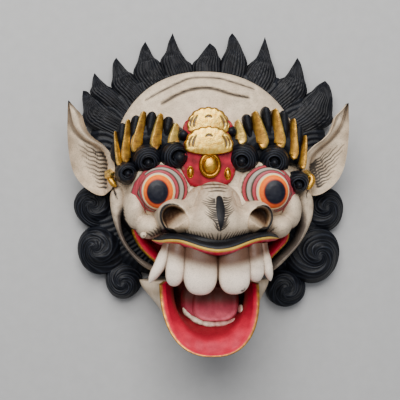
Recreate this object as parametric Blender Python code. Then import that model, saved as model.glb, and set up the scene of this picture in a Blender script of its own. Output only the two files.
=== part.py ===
"""A carved and painted wooden demon mask of the Balinese barong drama, lying on its back.

The mask's back is the plane Z = 0, its face looks along +Z and the top of its head points along +Y,
so +X is on the right of someone who looks down on the face. Four carved blocks make it up: the head
with its hair, brow, eyes, snout and upper teeth, the lower jaw with the tongue, and the two ears.
All sizes below are in millimetres, and make_solid turns them into metres.
"""

import math

import bpy
import numpy as np

MM = 0.001
GAP = 0.3  # between two blocks that meet

# The hair: a plate of rounded outline, flame-shaped locks over it and curls down its sides
HAIR_CENTRE = (0.0, 20.0)
HAIR_HALF_WIDTH, HAIR_ABOVE, HAIR_BELOW, HAIR_SQUARENESS = 129.0, 119.0, 103.0, 3.0
HAIR_RIM, HAIR_CROWN = 15.0, 22.0  # its height at the edge, and towards the face
LOCK_ROOT = 78.0  # how far from the hair's centre the locks start
LOCK_MIDDLE, LOCK_DEPTH = 12.5, 11.5  # height of a lock's middle line, and half its thickness
LOCK_STATIONS, LOCK_SIDES, LOCK_ROOT_PHASE, LOCK_FULLNESS = 5, 6, 0.28, 0.58
LOCK_UPRIGHT = 0.35  # the share of its lean that a lock keeps: each one turns upwards at its tip
# Each lock's angle about the hair's centre, its reach from there, its breadth and its free length
LOCKS = (
    (144, 164, 34, 40),
    (137, 167, 36, 36),
    (127, 163, 38, 36),
    (115, 163, 42, 38),
    (104, 162, 46, 40),
    (90, 148, 40, 32),
    (81, 161, 40, 40),
    (68.5, 167, 42, 46),
    (54, 164, 46, 42),
    (40.5, 167, 46, 42),
)
CURL_TURNS, CURL_GROOVE = 1.6, 0.09  # of the spiral cut into a curl; the groove as a share of its height
CURL_SHOULDER, CURL_ROUNDING = 0.55, 0.7  # where a curl's straight side ends, and how its top rounds
# Each side curl's middle, radius and height, and the hand of its spiral
SIDE_CURLS = (
    (-119.0, -6.0, 24.0, 27.0, 1),
    (-114.0, -52.0, 26.0, 30.0, 1),
    (-91.0, -85.0, 19.5, 25.0, -1),
    (122.0, -10.0, 24.0, 27.0, -1),
    (110.0, -58.0, 31.0, 31.0, -1),
    (83.0, -94.0, 21.0, 25.0, 1),
)

# The face: one swelling form, from the edge of the forehead to the mouth
FACE_CENTRE = (-1.0, 20.0)
FACE_HALF_WIDTH, FACE_ABOVE, FACE_BELOW, FACE_SQUARENESS = 103.0, 113.0, 86.0, 2.2
FACE_RIM, FACE_CROWN = 28.0, 66.0
CHEEK_X, CHEEK_Y, CHEEK_Z, CHEEK_SIZE = 73.0, -12.0, 56.0, (16.0, 25.0, 25.0)
EYE_X, EYE_Y, EYE_LEAN = 57.0, 6.0, 0.16  # outer folds lean towards the nose
# The folds of the lids and the eyeball: radius and height of each turn, from the outside in
EYE_TURNS = (
    (30, 40), (29, 62), (26.5, 70), (24, 70), (22.5, 75), (19, 75), (17.5, 80), (14, 87), (8, 91),
)  # fmt: skip
EYE_BALL, EYE_TOP, EYE_SIDES = 16.0, 92.5, 16

# The bars beside the mouth: the pale edge of the upper jaw, and the red corner inside it
BAR_CENTRE, BAR_RADIUS, BAR_ANGLES = (0.0, 5.0), 99.0, (172.0, 232.0)
BAR_HALF_WIDTH, BAR_LOW, BAR_TOP = 6.5, 16.0, 50.0
CORNER_RADIUS, CORNER_ANGLES, CORNER_HALF_WIDTH = 83.0, (196.0, 232.0), 9.0
CORNER_LOW, CORNER_TOP = 14.0, 62.0

# The brow: on each side a ridge, a fan of gold leaves with dark lobes between, and three curls
BROW_CENTRE, BROW_LEFT_SHIFT = (60.0, 53.0), -7.0  # the left brow is further out than the right
BROW_SPREAD, BROW_LEAVES, BROW_FIRST, BROW_STEP = (40.0, 38.0), 5, 30.0, 30.0
BROW_FOOT, BROW_FALL = 60.0, 22.0  # height of the leaves' lower ends at the middle, and its fall
BROW_LOW, BROW_TOP = 44.0, 66.0
GOLD_WIDTH, LOBE_WIDTH = 5.6, 7.2  # half the widest part of each
LEAF_FOOT_NEAR, LEAF_FOOT_RUN, LEAF_FOOT_DROP = 28.0, 63.0, 2.0  # where the leaves' feet start to fall
BROW_CURLS = ((30.0, 40.5, 15.0), (61.5, 39.0, 14.5), (86.0, 21.0, 10.5))
BROW_CURL_TOP = 80.0
BALL_PLACE, BALL_RADIUS = (18.0, 68.0, 62.0), 6.0

# The ornament in the middle of the brow
CROWN_X = -6.0
PANEL_Y, PANEL_SIZE, PANEL_TOP = 36.0, (28.0, 25.0), 70.0
# Each fan's foot height, radius and top, and how much its rim is scalloped
FANS = ((72.0, 21.5, 70.0), (49.0, 24.5, 76.0))
FAN_SCALLOPS, FAN_SCALLOP_DEPTH = 9, 0.05
BEADS = ((0.0, 33.0, 71.0, (11.0, 13.5, 11.0)), (-19.0, 28.0, 69.0, (3.6, 6.8, 4.5)),
         (19.0, 27.5, 69.0, (3.6, 6.8, 4.5)))  # fmt: skip

# The snout and the upper lip
SNOUT_PLACE, SNOUT_SIZE = (-1.0, -16.0, 76.0), (40.0, 30.0, 46.0)
BRIDGE_PLACE, BRIDGE_SIZE = (-3.0, -2.0, 62.0), (25.0, 18.0, 28.0)
WING_X, WING_Y, WING_Z, WING_SIZE = 43.0, -18.0, 88.0, (19.0, 17.5, 30.0)
NOSTRIL_RADIUS, NOSTRIL_FLOOR = 12.0, 92.0
LIP_REACH, LIP_Y, LIP_DIP, LIP_DIP_WIDTH, LIP_DROOP = 62.0, -34.0, 12.0, 24.0, 6.0
LIP_FRONT, LIP_SET_BACK = 124.0, 38.0
LIP_HALF_HEIGHT, LIP_HALF_DEPTH = 8.0, 9.0
PALATE_PLACE, PALATE_SIZE = (-2.0, -38.0, 70.0), (54.0, 21.0, 46.0)

# Each upper tooth: x of its root, x and y of its lower end, half-width, and how bluntly it ends
TOOTH_ROOT_Y, TOOTH_DEPTH = -42.0, 9.0
TEETH = (
    (-18.0, -19.0, -91.0, 16.5, 0.4),
    (13.5, 14.5, -90.5, 15.5, 0.4),
    (-40.0, -44.0, -83.0, 11.0, 0.45),
    (34.0, 36.0, -79.5, 10.0, 0.45),
    (-49.0, -66.0, -80.5, 7.0, 0.9),
    (43.0, 51.0, -79.5, 6.5, 0.9),
)
TOOTH_ARC_FRONT, TOOTH_ARC_DEPTH, TOOTH_ARC_HALF = 113.0, 20.0, 60.0

# The inside of the head, which a wearer's face goes into, and a blind hole to hang the mask by
HOLLOW_CENTRE, HOLLOW_HALF_WIDTH, HOLLOW_ABOVE, HOLLOW_BELOW = (-1.0, 22.0), 90.0, 90.0, 70.0
HOLLOW_DEPTH, HOLLOW_NOSE, HOLLOW_NOSE_DEPTH = 50.0, 26.0, 44.0
HANG_Y, HANG_RADIUS, HANG_DEPTH = 122.0, 3.0, 11.0

# The lower jaw: a scoop whose rim rises towards the chin, on a tenon that enters the head
JAW_X, JAW_HINGE_Y, JAW_CHIN_Y = -6.0, -84.0, -150.0
JAW_BACK_Y = -96.0  # the chin's lower edge on the back plane
JAW_HALF_WIDTH, JAW_FLARE, JAW_RIM_HALF_WIDTH = 58.0, 13.0, 50.0
JAW_BACK_SQUARENESS, JAW_RIM_SQUARENESS = 2.0, 2.4
JAW_CHIN_CURVE = 1.3  # above 1, the chin is hollow below its rim
JAW_SQUARE_RISE = 4.0  # the higher, the nearer to the rim the outline fills out
JAW_RIM_LOW, JAW_RIM_HIGH, JAW_RIM_WALL, JAW_FLOOR_WALL = 76.0, 119.0, 4.0, 20.0
JAW_FLOOR = 0.5  # the floor's height, as a share of the rim's
JAW_LEVELS = tuple(np.linspace(JAW_FLOOR, 1.0, 5))
TENON_HALF_WIDTH, TENON_TOP_Y, TENON_HEIGHT = 30.0, -61.0, 40.0
TONGUE_PLACE, TONGUE_SIZE = (-5.0, -106.0, 62.0), (30.0, 17.0, 24.0)
LOWER_TEETH = ((-24.0, -112.0), (-14.0, -117.5), (-3.0, -119.5), (8.0, -117.0), (21.0, -107.0))
LOWER_TOOTH_SIZE, LOWER_TOOTH_Z = (6.5, 6.0, 9.0), 70.0

# The ears: leaves with a rolled rim and a hollow, let into the temples
EAR_FOOT, EAR_TIP, EAR_BOW = (100.0, 12.0), (141.0, 101.0), 5.0
EAR_LEFT_SHIFT = -6.0  # the left ear stands out further than the right one's mirror image
EAR_WIDTHS = (14.0, 20.5, 22.0, 19.0, 13.5, 7.5, 1.2)
EAR_BACK, EAR_LIFT, EAR_THICKNESS, EAR_RIM, EAR_HOLLOW = 30.0, 14.0, 7.0, 5.0, 9.0
STUD_PLACE, STUD_RADIUS, STUD_LENGTH = (99.0, 26.0, 34.0), 7.0, 24.0

CREAM = (0.72, 0.65, 0.56, 1.0)
JAW_RED = (0.55, 0.02, 0.05, 1.0)


def loft(rings, start=None, end=None):
    """Vertices and faces of a closed solid through a stack of loops, shaped (levels, around, 3).

    A fan closes each end, with its middle at start or end, or at that loop's own middle.
    """
    rings = np.asarray(rings, float)
    levels, around, _ = rings.shape
    start = rings[0].mean(axis=0) if start is None else start
    end = rings[-1].mean(axis=0) if end is None else end
    vertices = np.vstack([rings.reshape(-1, 3), start, end])
    here = np.arange(around)
    following = (here + 1) % around
    faces = []
    for level in range(levels - 1):
        low, high = level * around, (level + 1) * around
        faces += np.stack([low + here, low + following, high + following], 1).tolist()
        faces += np.stack([low + here, high + following, high + here], 1).tolist()
    first, last = len(vertices) - 2, len(vertices) - 1
    top = (levels - 1) * around
    faces += [[int(b), int(a), first] for a, b in zip(here, following)]
    faces += [[int(top + a), int(top + b), last] for a, b in zip(here, following)]
    return facing_out(vertices, faces)


def facing_out(vertices, faces):
    """The same solid, with its triangles turned round if their normals point inwards."""
    corners = vertices[np.array(faces)]
    volume = np.linalg.det(corners - vertices.mean(axis=0)).sum()
    return vertices, [face[::-1] for face in faces] if volume < 0 else faces


def mirrored(shape, shift=0.0):
    """The shape's mirror image about the plane X = 0, moved along X by shift."""
    vertices, faces = shape
    return vertices * (-1.0, 1.0, 1.0) + (shift, 0.0, 0.0), [face[::-1] for face in faces]


def circle_angles(count):
    return np.arange(count) * 2.0 * math.pi / count


def oval_reach(angles, half_width, above, below, squareness):
    """Distance from the middle to a superellipse that is taller above its middle than below."""
    height = np.where(np.sin(angles) > 0, above, below)
    inside = np.abs(np.cos(angles) / half_width) ** squareness
    inside += np.abs(np.sin(angles) / height) ** squareness
    return inside ** (-1.0 / squareness)


def dome(centre, reach, levels, peak=None):
    """A solid of stacked copies of one outline: reach by angle, levels as (share of it, height).

    Its top rises to a peak in the middle, or is flat without one.
    """
    angles = circle_angles(len(reach))
    rings = []
    for share, height in levels:
        x = centre[0] + share * reach * np.cos(angles)
        y = centre[1] + share * reach * np.sin(angles)
        rings.append(np.stack([x, y, np.broadcast_to(height, x.shape)], 1))
    return loft(rings, end=None if peak is None else (*centre, peak))


def ellipsoid(place, size, around=14, levels=8):
    tilt = np.linspace(0.0, math.pi, levels + 1)[1:-1]
    angles = circle_angles(around)
    rings = [
        np.stack([np.cos(angles) * math.sin(t), np.sin(angles) * math.sin(t),
                  np.full(around, -math.cos(t))], 1) * size + place
        for t in tilt
    ]  # fmt: skip
    low = np.add(place, (0.0, 0.0, -size[2]))
    high = np.add(place, (0.0, 0.0, size[2]))
    return loft(rings, low, high)


def sweep(path, half_widths, half_heights, around=8, tip=None):
    """A solid along a path in plan, with an oval section whose size changes along it."""
    path = np.asarray(path, float)
    along = np.gradient(path[:, :2], axis=0)
    along /= np.linalg.norm(along, axis=1, keepdims=True)
    angles = circle_angles(around)
    rings = []
    for point, (dx, dy), width, height in zip(path, along, half_widths, half_heights):
        across = width * np.cos(angles)
        up = height * np.sin(angles)
        rings.append(np.stack([point[0] - dy * across, point[1] + dx * across, point[2] + up], 1))
    return loft(rings, end=tip)


def curved_path(start, bend, end, count):
    """Points along the parabola from start to end that heads for bend."""
    t = np.linspace(0.0, 1.0, count)[:, None]
    start, bend, end = (np.asarray(point, float) for point in (start, bend, end))
    return (1 - t) ** 2 * start + 2 * t * (1 - t) * bend + t**2 * end


def spiral_curl(centre, radius, low, top, hand, around=12, rings=4):
    """A rounded knob of hair with a spiral groove cut into its top."""
    angles = circle_angles(around)
    levels = [(1.0, low), (1.0, low + CURL_SHOULDER * (top - low))]
    for share in np.linspace(0.9, 0.12, rings):
        swell = math.sqrt(1.0 - CURL_ROUNDING * share**2)
        wave = np.cos(2 * math.pi * CURL_TURNS * share - hand * angles)
        groove = CURL_GROOVE * min(1.0, 3 * share) * wave  # it fades out towards the middle
        levels.append((share, low + (top - low) * (swell + groove)))
    return dome(centre, np.full(around, float(radius)), levels)


def lock_of_hair(angle, reach, breadth, free_length):
    """One flame of hair, which leaves the head radially and turns upwards to its tip."""
    out = math.radians(angle)
    lean = math.radians(90.0 + LOCK_UPRIGHT * (angle - 90.0))
    tip = np.array([HAIR_CENTRE[0] + reach * math.cos(out),
                    HAIR_CENTRE[1] + reach * math.sin(out), LOCK_MIDDLE])  # fmt: skip
    bend = tip - (free_length * math.cos(lean), free_length * math.sin(lean), 0.0)
    root = (HAIR_CENTRE[0] + LOCK_ROOT * math.cos(out), HAIR_CENTRE[1] + LOCK_ROOT * math.sin(out))
    path = curved_path((*root, LOCK_MIDDLE), bend, tip, LOCK_STATIONS + 1)[:-1]
    t = np.arange(LOCK_STATIONS) / LOCK_STATIONS
    # A sine arch from partway up it, so that the root is already wide and the tip comes to a point
    taper = np.sin(math.pi * (LOCK_ROOT_PHASE + (1.0 - LOCK_ROOT_PHASE) * t)) ** 0.85
    widths = LOCK_FULLNESS * breadth * taper
    heights = LOCK_DEPTH * np.minimum(1.0, 1.35 * taper**0.7)
    return sweep(path, widths, heights, LOCK_SIDES, tip)


def hair():
    angles = circle_angles(26)
    reach = oval_reach(angles, HAIR_HALF_WIDTH, HAIR_ABOVE, HAIR_BELOW, HAIR_SQUARENESS)
    levels = ((1.0, 0.0), (1.0, HAIR_RIM), (0.93, 0.5 * (HAIR_RIM + HAIR_CROWN)), (0.7, HAIR_CROWN))
    shapes = [dome(HAIR_CENTRE, reach, levels)]
    shapes += [lock_of_hair(*lock) for lock in LOCKS]
    for x, y, radius, top, hand in SIDE_CURLS:
        shapes.append(spiral_curl((x, y), radius, 0.0, top, hand))
    return shapes


def face():
    angles = circle_angles(22)
    reach = oval_reach(angles, FACE_HALF_WIDTH, FACE_ABOVE, FACE_BELOW, FACE_SQUARENESS)
    levels = [(1.0, 8.0)]
    for share in (1.0, 0.95, 0.84, 0.66, 0.44, 0.2):
        swell = (1.0 - share**2) ** 0.6
        levels.append((share, FACE_RIM + (FACE_CROWN - FACE_RIM) * swell))
    shapes = [dome(FACE_CENTRE, reach, levels)]
    for side in (-1, 1):
        shapes.append(ellipsoid((side * CHEEK_X, CHEEK_Y, CHEEK_Z), CHEEK_SIZE, 12, 6))
        shapes.append(eye(side))
    return shapes


def eye(side):
    """An eyeball within the stepped folds of its lids, which lean towards the nose."""
    angles = circle_angles(EYE_SIDES)
    rings = []
    for radius, height in EYE_TURNS:
        x = side * (EYE_X - EYE_LEAN * max(0.0, radius - EYE_BALL)) + radius * np.cos(angles)
        y = EYE_Y + radius * np.sin(angles)
        rings.append(np.stack([x, y, np.full(EYE_SIDES, float(height))], 1))
    return loft(rings, end=(side * EYE_X, EYE_Y, EYE_TOP))


def arc_path(centre, radius, angles, height, count):
    turn = np.radians(np.linspace(*angles, count))
    x = centre[0] + radius * np.cos(turn)
    y = centre[1] + radius * np.sin(turn)
    return np.stack([x, y, np.full(count, height)], 1)


def mouth_sides():
    """The pale bar down each side of the mouth, and the red corner between it and the lip."""
    count = 8
    taper = np.sin(np.linspace(0.45, 2.6, count)) ** 0.5
    bar = sweep(
        arc_path(BAR_CENTRE, BAR_RADIUS, BAR_ANGLES, 0.5 * (BAR_LOW + BAR_TOP), count),
        BAR_HALF_WIDTH * taper,
        0.5 * (BAR_TOP - BAR_LOW) * taper,
    )
    corner = sweep(
        arc_path(BAR_CENTRE, CORNER_RADIUS, CORNER_ANGLES, 0.5 * (CORNER_LOW + CORNER_TOP), 6),
        np.full(6, CORNER_HALF_WIDTH),
        np.full(6, 0.5 * (CORNER_TOP - CORNER_LOW)),
        6,
    )
    return [bar, mirrored(bar), corner, mirrored(corner)]


def brow_leaf(angle, longer, width, wide_foot):
    """One upright leaf of the brow on the +X side, from its foot above the curls to its rounded top."""
    turn = math.radians(angle)
    top_x = BROW_CENTRE[0] + (BROW_SPREAD[0] + longer) * math.cos(turn)
    top_y = BROW_CENTRE[1] + (BROW_SPREAD[1] + longer) * math.sin(turn)
    foot_x = BROW_CENTRE[0] + 0.85 * BROW_SPREAD[0] * math.cos(turn)
    foot_y = BROW_FOOT - BROW_FALL * ((foot_x - LEAF_FOOT_NEAR) / LEAF_FOOT_RUN) ** 2
    foot_y -= LEAF_FOOT_DROP
    count = 4
    t = np.linspace(0.0, 1.0, count)
    middle = 0.5 * (BROW_LOW + BROW_TOP)
    path = np.stack([foot_x + (top_x - foot_x) * t, foot_y + (top_y - foot_y) * t,
                     np.full(count, middle)], 1)  # fmt: skip
    swell = 1.0 - 0.45 * t if wide_foot else 0.55 + 0.45 * t
    rounded = np.sin(math.pi * (0.12 + 0.76 * t)) ** 0.4
    return sweep(path, width * swell * rounded, 0.5 * (BROW_TOP - BROW_LOW) * rounded, 4)


def half_brow():
    """The brow on the +X side."""
    first, last = BROW_FIRST, BROW_FIRST + BROW_STEP * (BROW_LEAVES - 1)
    ridge = arc_path((BROW_CENTRE[0] - 2.0, BROW_CENTRE[1] - 14.0), 27.0, (0.0, 168.0),
                     0.5 * (BROW_LOW + BROW_TOP) - 6.0, 7)  # fmt: skip
    shapes = [sweep(ridge, np.full(7, 15.0), np.full(7, 14.0), 6)]
    for angle in np.linspace(first, last, BROW_LEAVES):
        shapes.append(brow_leaf(angle, 0.0, GOLD_WIDTH, True))
    for angle in np.linspace(first, last, BROW_LEAVES)[:-1] + 0.5 * BROW_STEP:
        shapes.append(brow_leaf(angle, 2.0, LOBE_WIDTH, False))
    for x, y, radius in BROW_CURLS:
        shapes.append(spiral_curl((x, y), radius, BROW_LOW, BROW_CURL_TOP, 1, 11, 3))
    shapes.append(ellipsoid(BALL_PLACE, (BALL_RADIUS, BALL_RADIUS, BALL_RADIUS), 8, 6))
    return shapes


def brow():
    right = half_brow()
    return right + [mirrored(shape, BROW_LEFT_SHIFT) for shape in right] + crown()


def crown():
    """The panel over the bridge of the nose, with its two scalloped fans and three beads."""
    shapes = [dome((CROWN_X, PANEL_Y), oval_reach(circle_angles(16), *PANEL_SIZE, PANEL_SIZE[1], 2.6),
                   ((1.0, 50.0), (1.0, PANEL_TOP - 5), (0.85, PANEL_TOP)))]  # fmt: skip
    angles = circle_angles(27)
    rim = 1.0 + FAN_SCALLOP_DEPTH * np.abs(np.sin(FAN_SCALLOPS * angles))
    for foot, radius, top in FANS:
        flat = oval_reach(angles, radius, radius, 0.3 * radius, 2.2) * rim
        shapes.append(dome((CROWN_X, foot), flat, ((1.0, 50.0), (1.0, top - 4.0)), top))
    for x, y, z, size in BEADS:
        shapes.append(ellipsoid((CROWN_X + x, y, z), size, 10, 6))
    return shapes


def lip_line(x):
    """Height in the face and distance to the front of the upper lip, at x across the mouth."""
    out = np.abs(x) / LIP_REACH
    y = LIP_Y - LIP_DIP * np.exp(-((x / LIP_DIP_WIDTH) ** 2)) - LIP_DROOP * out**6
    return y, LIP_FRONT - LIP_SET_BACK * out**2


def snout():
    x = np.linspace(-LIP_REACH, LIP_REACH, 13)
    y, z = lip_line(x)
    ends = np.sqrt(np.clip(1.0 - 0.75 * (np.abs(x) / LIP_REACH) ** 4, 0.0, 1.0))
    lip_path = np.stack([x - 1.0, y, z - 0.5 * LIP_HALF_DEPTH], 1)
    shapes = [
        ellipsoid(SNOUT_PLACE, SNOUT_SIZE, 16, 8),
        ellipsoid(BRIDGE_PLACE, BRIDGE_SIZE, 12, 6),
        ellipsoid(PALATE_PLACE, PALATE_SIZE, 12, 6),
        sweep(lip_path, LIP_HALF_HEIGHT * ends, LIP_HALF_DEPTH * ends, 6),
    ]
    for side in (-1, 1):
        shapes.append(ellipsoid((side * WING_X - 2.0, WING_Y, WING_Z), WING_SIZE, 12, 6))
    return shapes


def tooth(root_x, end_x, end_y, half_width, bluntness):
    """An upper tooth, from the gum to its rounded or pointed end."""
    t = np.array([0.0, 0.4, 0.75, 0.93, 1.0])
    x = root_x + (end_x - root_x) * t**1.3
    y = TOOTH_ROOT_Y + (end_y - TOOTH_ROOT_Y) * t
    set_back = TOOTH_ARC_DEPTH * (0.5 * (root_x + end_x) / TOOTH_ARC_HALF) ** 2
    z = TOOTH_ARC_FRONT - set_back + 3.0 * np.sin(math.pi * t)
    rounding = np.clip(1.02 - t**4, 0.02, 1.0) ** bluntness
    width = half_width * rounding * (0.85 + 0.2 * t)
    depth = TOOTH_DEPTH * rounding
    return sweep(np.stack([x, y, z], 1), width, depth)


def head_cutters():
    """What is carved out of the head: nostrils, the wearer's hollow, the jaw's seat, the hanging hole."""
    cutters = []
    for side in (-1, 1):
        place = (side * WING_X - 2.0, WING_Y)
        reach = np.full(12, NOSTRIL_RADIUS)
        levels = ((0.45, NOSTRIL_FLOOR), (0.8, NOSTRIL_FLOOR + 7.0), (1.0, 110.0), (1.05, 140.0))
        cutters.append(dome(place, reach, levels))
    angles = circle_angles(20)
    reach = oval_reach(angles, HOLLOW_HALF_WIDTH, HOLLOW_ABOVE, HOLLOW_BELOW, 2.2)
    levels = [(1.0, -5.0), (1.0, 0.0)]
    for share in (0.92, 0.78, 0.58, 0.3):
        levels.append((share, HOLLOW_DEPTH * (1.0 - share**2) ** 0.6))
    cutters.append(dome(HOLLOW_CENTRE, reach, levels))
    nose = (SNOUT_PLACE[0], SNOUT_PLACE[1] + 8.0, HOLLOW_DEPTH - 10.0)
    cutters.append(ellipsoid(nose, (HOLLOW_NOSE, 0.8 * HOLLOW_NOSE, HOLLOW_NOSE_DEPTH), 10, 6))
    half = TENON_HALF_WIDTH + GAP
    cutters.append(block((JAW_X - half, JAW_HINGE_Y - 90.0, -5.0),
                         (JAW_X + half, TENON_TOP_Y + GAP, TENON_HEIGHT + GAP)))  # fmt: skip
    half = JAW_HALF_WIDTH + 2.0
    cutters.append(block((JAW_X - half, JAW_HINGE_Y - 90.0, -5.0),
                         (JAW_X + half, JAW_HINGE_Y + GAP, TENON_HEIGHT)))  # fmt: skip
    reach = np.full(12, HANG_RADIUS)
    cutters.append(dome((0.0, HANG_Y), reach, ((1.0, -5.0), (1.0, HANG_DEPTH))))
    mortise = ear(GAP)
    return cutters + mortise + [mirrored(shape, EAR_LEFT_SHIFT) for shape in mortise]


def block(low, high):
    """A box between two corners."""
    x = np.array([low[0], high[0], high[0], low[0]])
    y = np.array([low[1], low[1], high[1], high[1]])
    return loft([np.stack([x, y, np.full(4, float(z))], 1) for z in (low[2], high[2])])


def jaw_ring(share, inset=0.0, top_y=JAW_HINGE_Y):
    """One D-shaped loop of the jaw, from its back at share 0 to its rim at share 1."""
    angles = circle_angles(24)
    half_width = JAW_HALF_WIDTH + (JAW_RIM_HALF_WIDTH - JAW_HALF_WIDTH) * share
    half_width += JAW_FLARE * math.sin(math.pi * share) - inset
    low_y = JAW_BACK_Y + (JAW_CHIN_Y - JAW_BACK_Y) * share**JAW_CHIN_CURVE + inset
    squareness = JAW_BACK_SQUARENESS + (JAW_RIM_SQUARENESS - JAW_BACK_SQUARENESS) * share**JAW_SQUARE_RISE
    reach = oval_reach(angles, half_width, 0.01, JAW_HINGE_Y - low_y, squareness)
    x = JAW_X + reach * np.cos(angles)
    y = JAW_HINGE_Y + reach * np.sin(angles)
    # The angles of the upper half are spread along the straight top edge instead
    upper = np.sin(angles) > 1e-6
    x[upper] = JAW_X + half_width * (1.0 - 2.0 * angles[upper] / math.pi)
    y[upper] = top_y
    rise = (JAW_HINGE_Y - y) / (JAW_HINGE_Y - JAW_CHIN_Y)
    rim = JAW_RIM_LOW + (JAW_RIM_HIGH - JAW_RIM_LOW) * rise
    return np.stack([x, y, share * rim], 1)


def jaw():
    outer = loft([jaw_ring(share) for share in (0.0, 0.25, *JAW_LEVELS)])
    tenon = block((JAW_X - TENON_HALF_WIDTH, JAW_HINGE_Y - 6.0, 0.0),
                  (JAW_X + TENON_HALF_WIDTH, TENON_TOP_Y, TENON_HEIGHT))  # fmt: skip
    tongue = ellipsoid(TONGUE_PLACE, TONGUE_SIZE, 14, 6)
    teeth = [ellipsoid((x, y, LOWER_TOOTH_Z), LOWER_TOOTH_SIZE, 8, 6) for x, y in LOWER_TEETH]
    return [outer, tenon], [tongue] + teeth


def jaw_scoop():
    """The space inside the jaw, above the floor of the mouth."""
    rings = []
    for share in JAW_LEVELS:
        rise = (share - JAW_FLOOR) / (1.0 - JAW_FLOOR)
        inset = JAW_RIM_WALL + (JAW_FLOOR_WALL - JAW_RIM_WALL) * (1.0 - rise**0.6)
        rings.append(jaw_ring(share, inset, TENON_TOP_Y + 10.0))
    rings.append(rings[-1] + (0.0, 0.0, 40.0))
    return loft(rings)


def ear(grow=0.0):
    """The ear on the +X side: a leaf of even thickness, with a rolled rim and a hollow near its foot.

    A grown ear is the cutter for its mortise in the head. It grows more in height than in width,
    because widening it also stretches the curve of its hollow.
    """
    loose = 4.0 * grow
    count = len(EAR_WIDTHS)
    foot, tip = np.array(EAR_FOOT), np.array(EAR_TIP)
    run = (tip - foot) / np.linalg.norm(tip - foot)
    side = np.array([run[1], -run[0]])
    t = np.linspace(0.0, 1.0, count)
    middle = foot + t[:, None] * (tip - foot) + (EAR_BOW * np.sin(math.pi * t))[:, None] * side
    middle[0] -= grow * run
    across = np.linspace(-1.0, 1.0, 5)
    rings = []
    for centre, width, share in zip(middle, EAR_WIDTHS, t):
        hollow = EAR_HOLLOW * math.sin(math.pi * min(1.0, share + 0.15)) ** 2
        front = EAR_BACK + EAR_LIFT * share + EAR_THICKNESS + loose
        front = front + EAR_RIM * across**4 - hollow * (1.0 - across**2)
        outline = centre + np.outer((width + grow) * across, side)
        upper = np.column_stack([outline, front])
        lower = np.column_stack([outline, front - EAR_THICKNESS - 2.0 * loose])[::-1]
        rings.append(np.vstack([upper, lower]))
    x, y, z = STUD_PLACE
    radius = STUD_RADIUS + grow
    stud = dome((x, y), np.full(6, radius), ((1.0, z - grow), (1.0, z + 8.0), (0.2, z + STUD_LENGTH)))
    return [loft(rings), stud]


def make_material(name, colour):
    material = bpy.data.materials.new(name)
    material.use_nodes = True
    shader = material.node_tree.nodes["Principled BSDF"]
    shader.inputs["Base Color"].default_value = colour
    shader.inputs["Roughness"].default_value = 0.5
    shader.inputs["Metallic"].default_value = 0.0
    return material


def make_solid(name, shape, origin, collection):
    """A mesh object from a shape in millimetres, measured from the origin given."""
    vertices, faces = shape
    mesh = bpy.data.meshes.new(name)
    mesh.from_pydata(((vertices - origin) * MM).tolist(), [], faces)
    mesh.validate()
    solid = bpy.data.objects.new(name, mesh)
    collection.objects.link(solid)
    return solid


def helper_collection(name, shapes, origin):
    """A collection of guides that the render leaves out, one for each shape."""
    collection = bpy.data.collections.new(name)
    bpy.context.scene.collection.children.link(collection)
    collection.hide_render = True
    for shape in shapes:
        guide = make_solid(name + "_guide", shape, origin, collection)
        guide.hide_render = True
        guide.display_type = "WIRE"
    return collection


def carve(solid, operation, collection, solver):
    boolean = solid.modifiers.new(collection.name, "BOOLEAN")
    boolean.operation = operation
    boolean.solver = solver
    boolean.operand_type = "COLLECTION"
    boolean.collection = collection


def build_node(name, steps, origin, material, solver="EXACT"):
    """One block: steps is a list of (operation, shapes), and the first shape of all is its body."""
    (_, first), later = steps[0], steps[1:]
    solid = make_solid(name, first[0], origin, bpy.context.scene.collection)
    solid.data.materials.append(material)
    for number, (operation, shapes) in enumerate([("UNION", first[1:])] + later):
        if shapes:
            carve(solid, operation, helper_collection(f"{name}_{number}", shapes, origin), solver)
    solid.data.shade_smooth()
    solid.data.set_sharp_from_angle(angle=math.radians(35))
    return solid


def main():
    for existing in list(bpy.data.objects):
        bpy.data.objects.remove(existing, do_unlink=True)
    head = hair() + face() + mouth_sides() + brow() + snout() + [tooth(*row) for row in TEETH]
    jaw_blocks, jaw_details = jaw()
    right_ear = ear()
    left_ear = [mirrored(shape, EAR_LEFT_SHIFT) for shape in right_ear]
    points = np.vstack([vertices for vertices, _ in head + jaw_blocks + right_ear + left_ear])
    low, high = points.min(axis=0), points.max(axis=0)
    origin = np.array([0.5 * (low[0] + high[0]), 0.5 * (low[1] + high[1]), 0.0])
    build_node("mask_head", [("UNION", head), ("DIFFERENCE", head_cutters())], origin,
               make_material("head_paint", CREAM))  # fmt: skip
    # The exact solver leaves a doubled edge where a lower tooth meets the wall of the scoop
    build_node("lower_jaw", [("UNION", jaw_blocks), ("DIFFERENCE", [jaw_scoop()]),
                             ("UNION", jaw_details)], origin,
               make_material("jaw_paint", JAW_RED), "MANIFOLD")  # fmt: skip
    ear_paint = make_material("ear_paint", CREAM)
    build_node("ear_right", [("UNION", right_ear)], origin, ear_paint)
    build_node("ear_left", [("UNION", left_ear)], origin, ear_paint)


main()
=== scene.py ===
"""A carved and painted wooden demon mask of the Balinese barong drama, dressed around its solids.

All sizes are millimetres in the carver's frame: the back of the mask is the plane z = 0, its face
looks along +z, the top of its head points along +y, and x = 0 is the middle of the face. The mask
lies on its back on a pale floor, and the camera looks down on it.
"""

from __future__ import annotations

import logging
import math
from dataclasses import dataclass
from enum import Enum

import bpy
import numpy as np
from mathutils import Matrix, Vector


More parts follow.
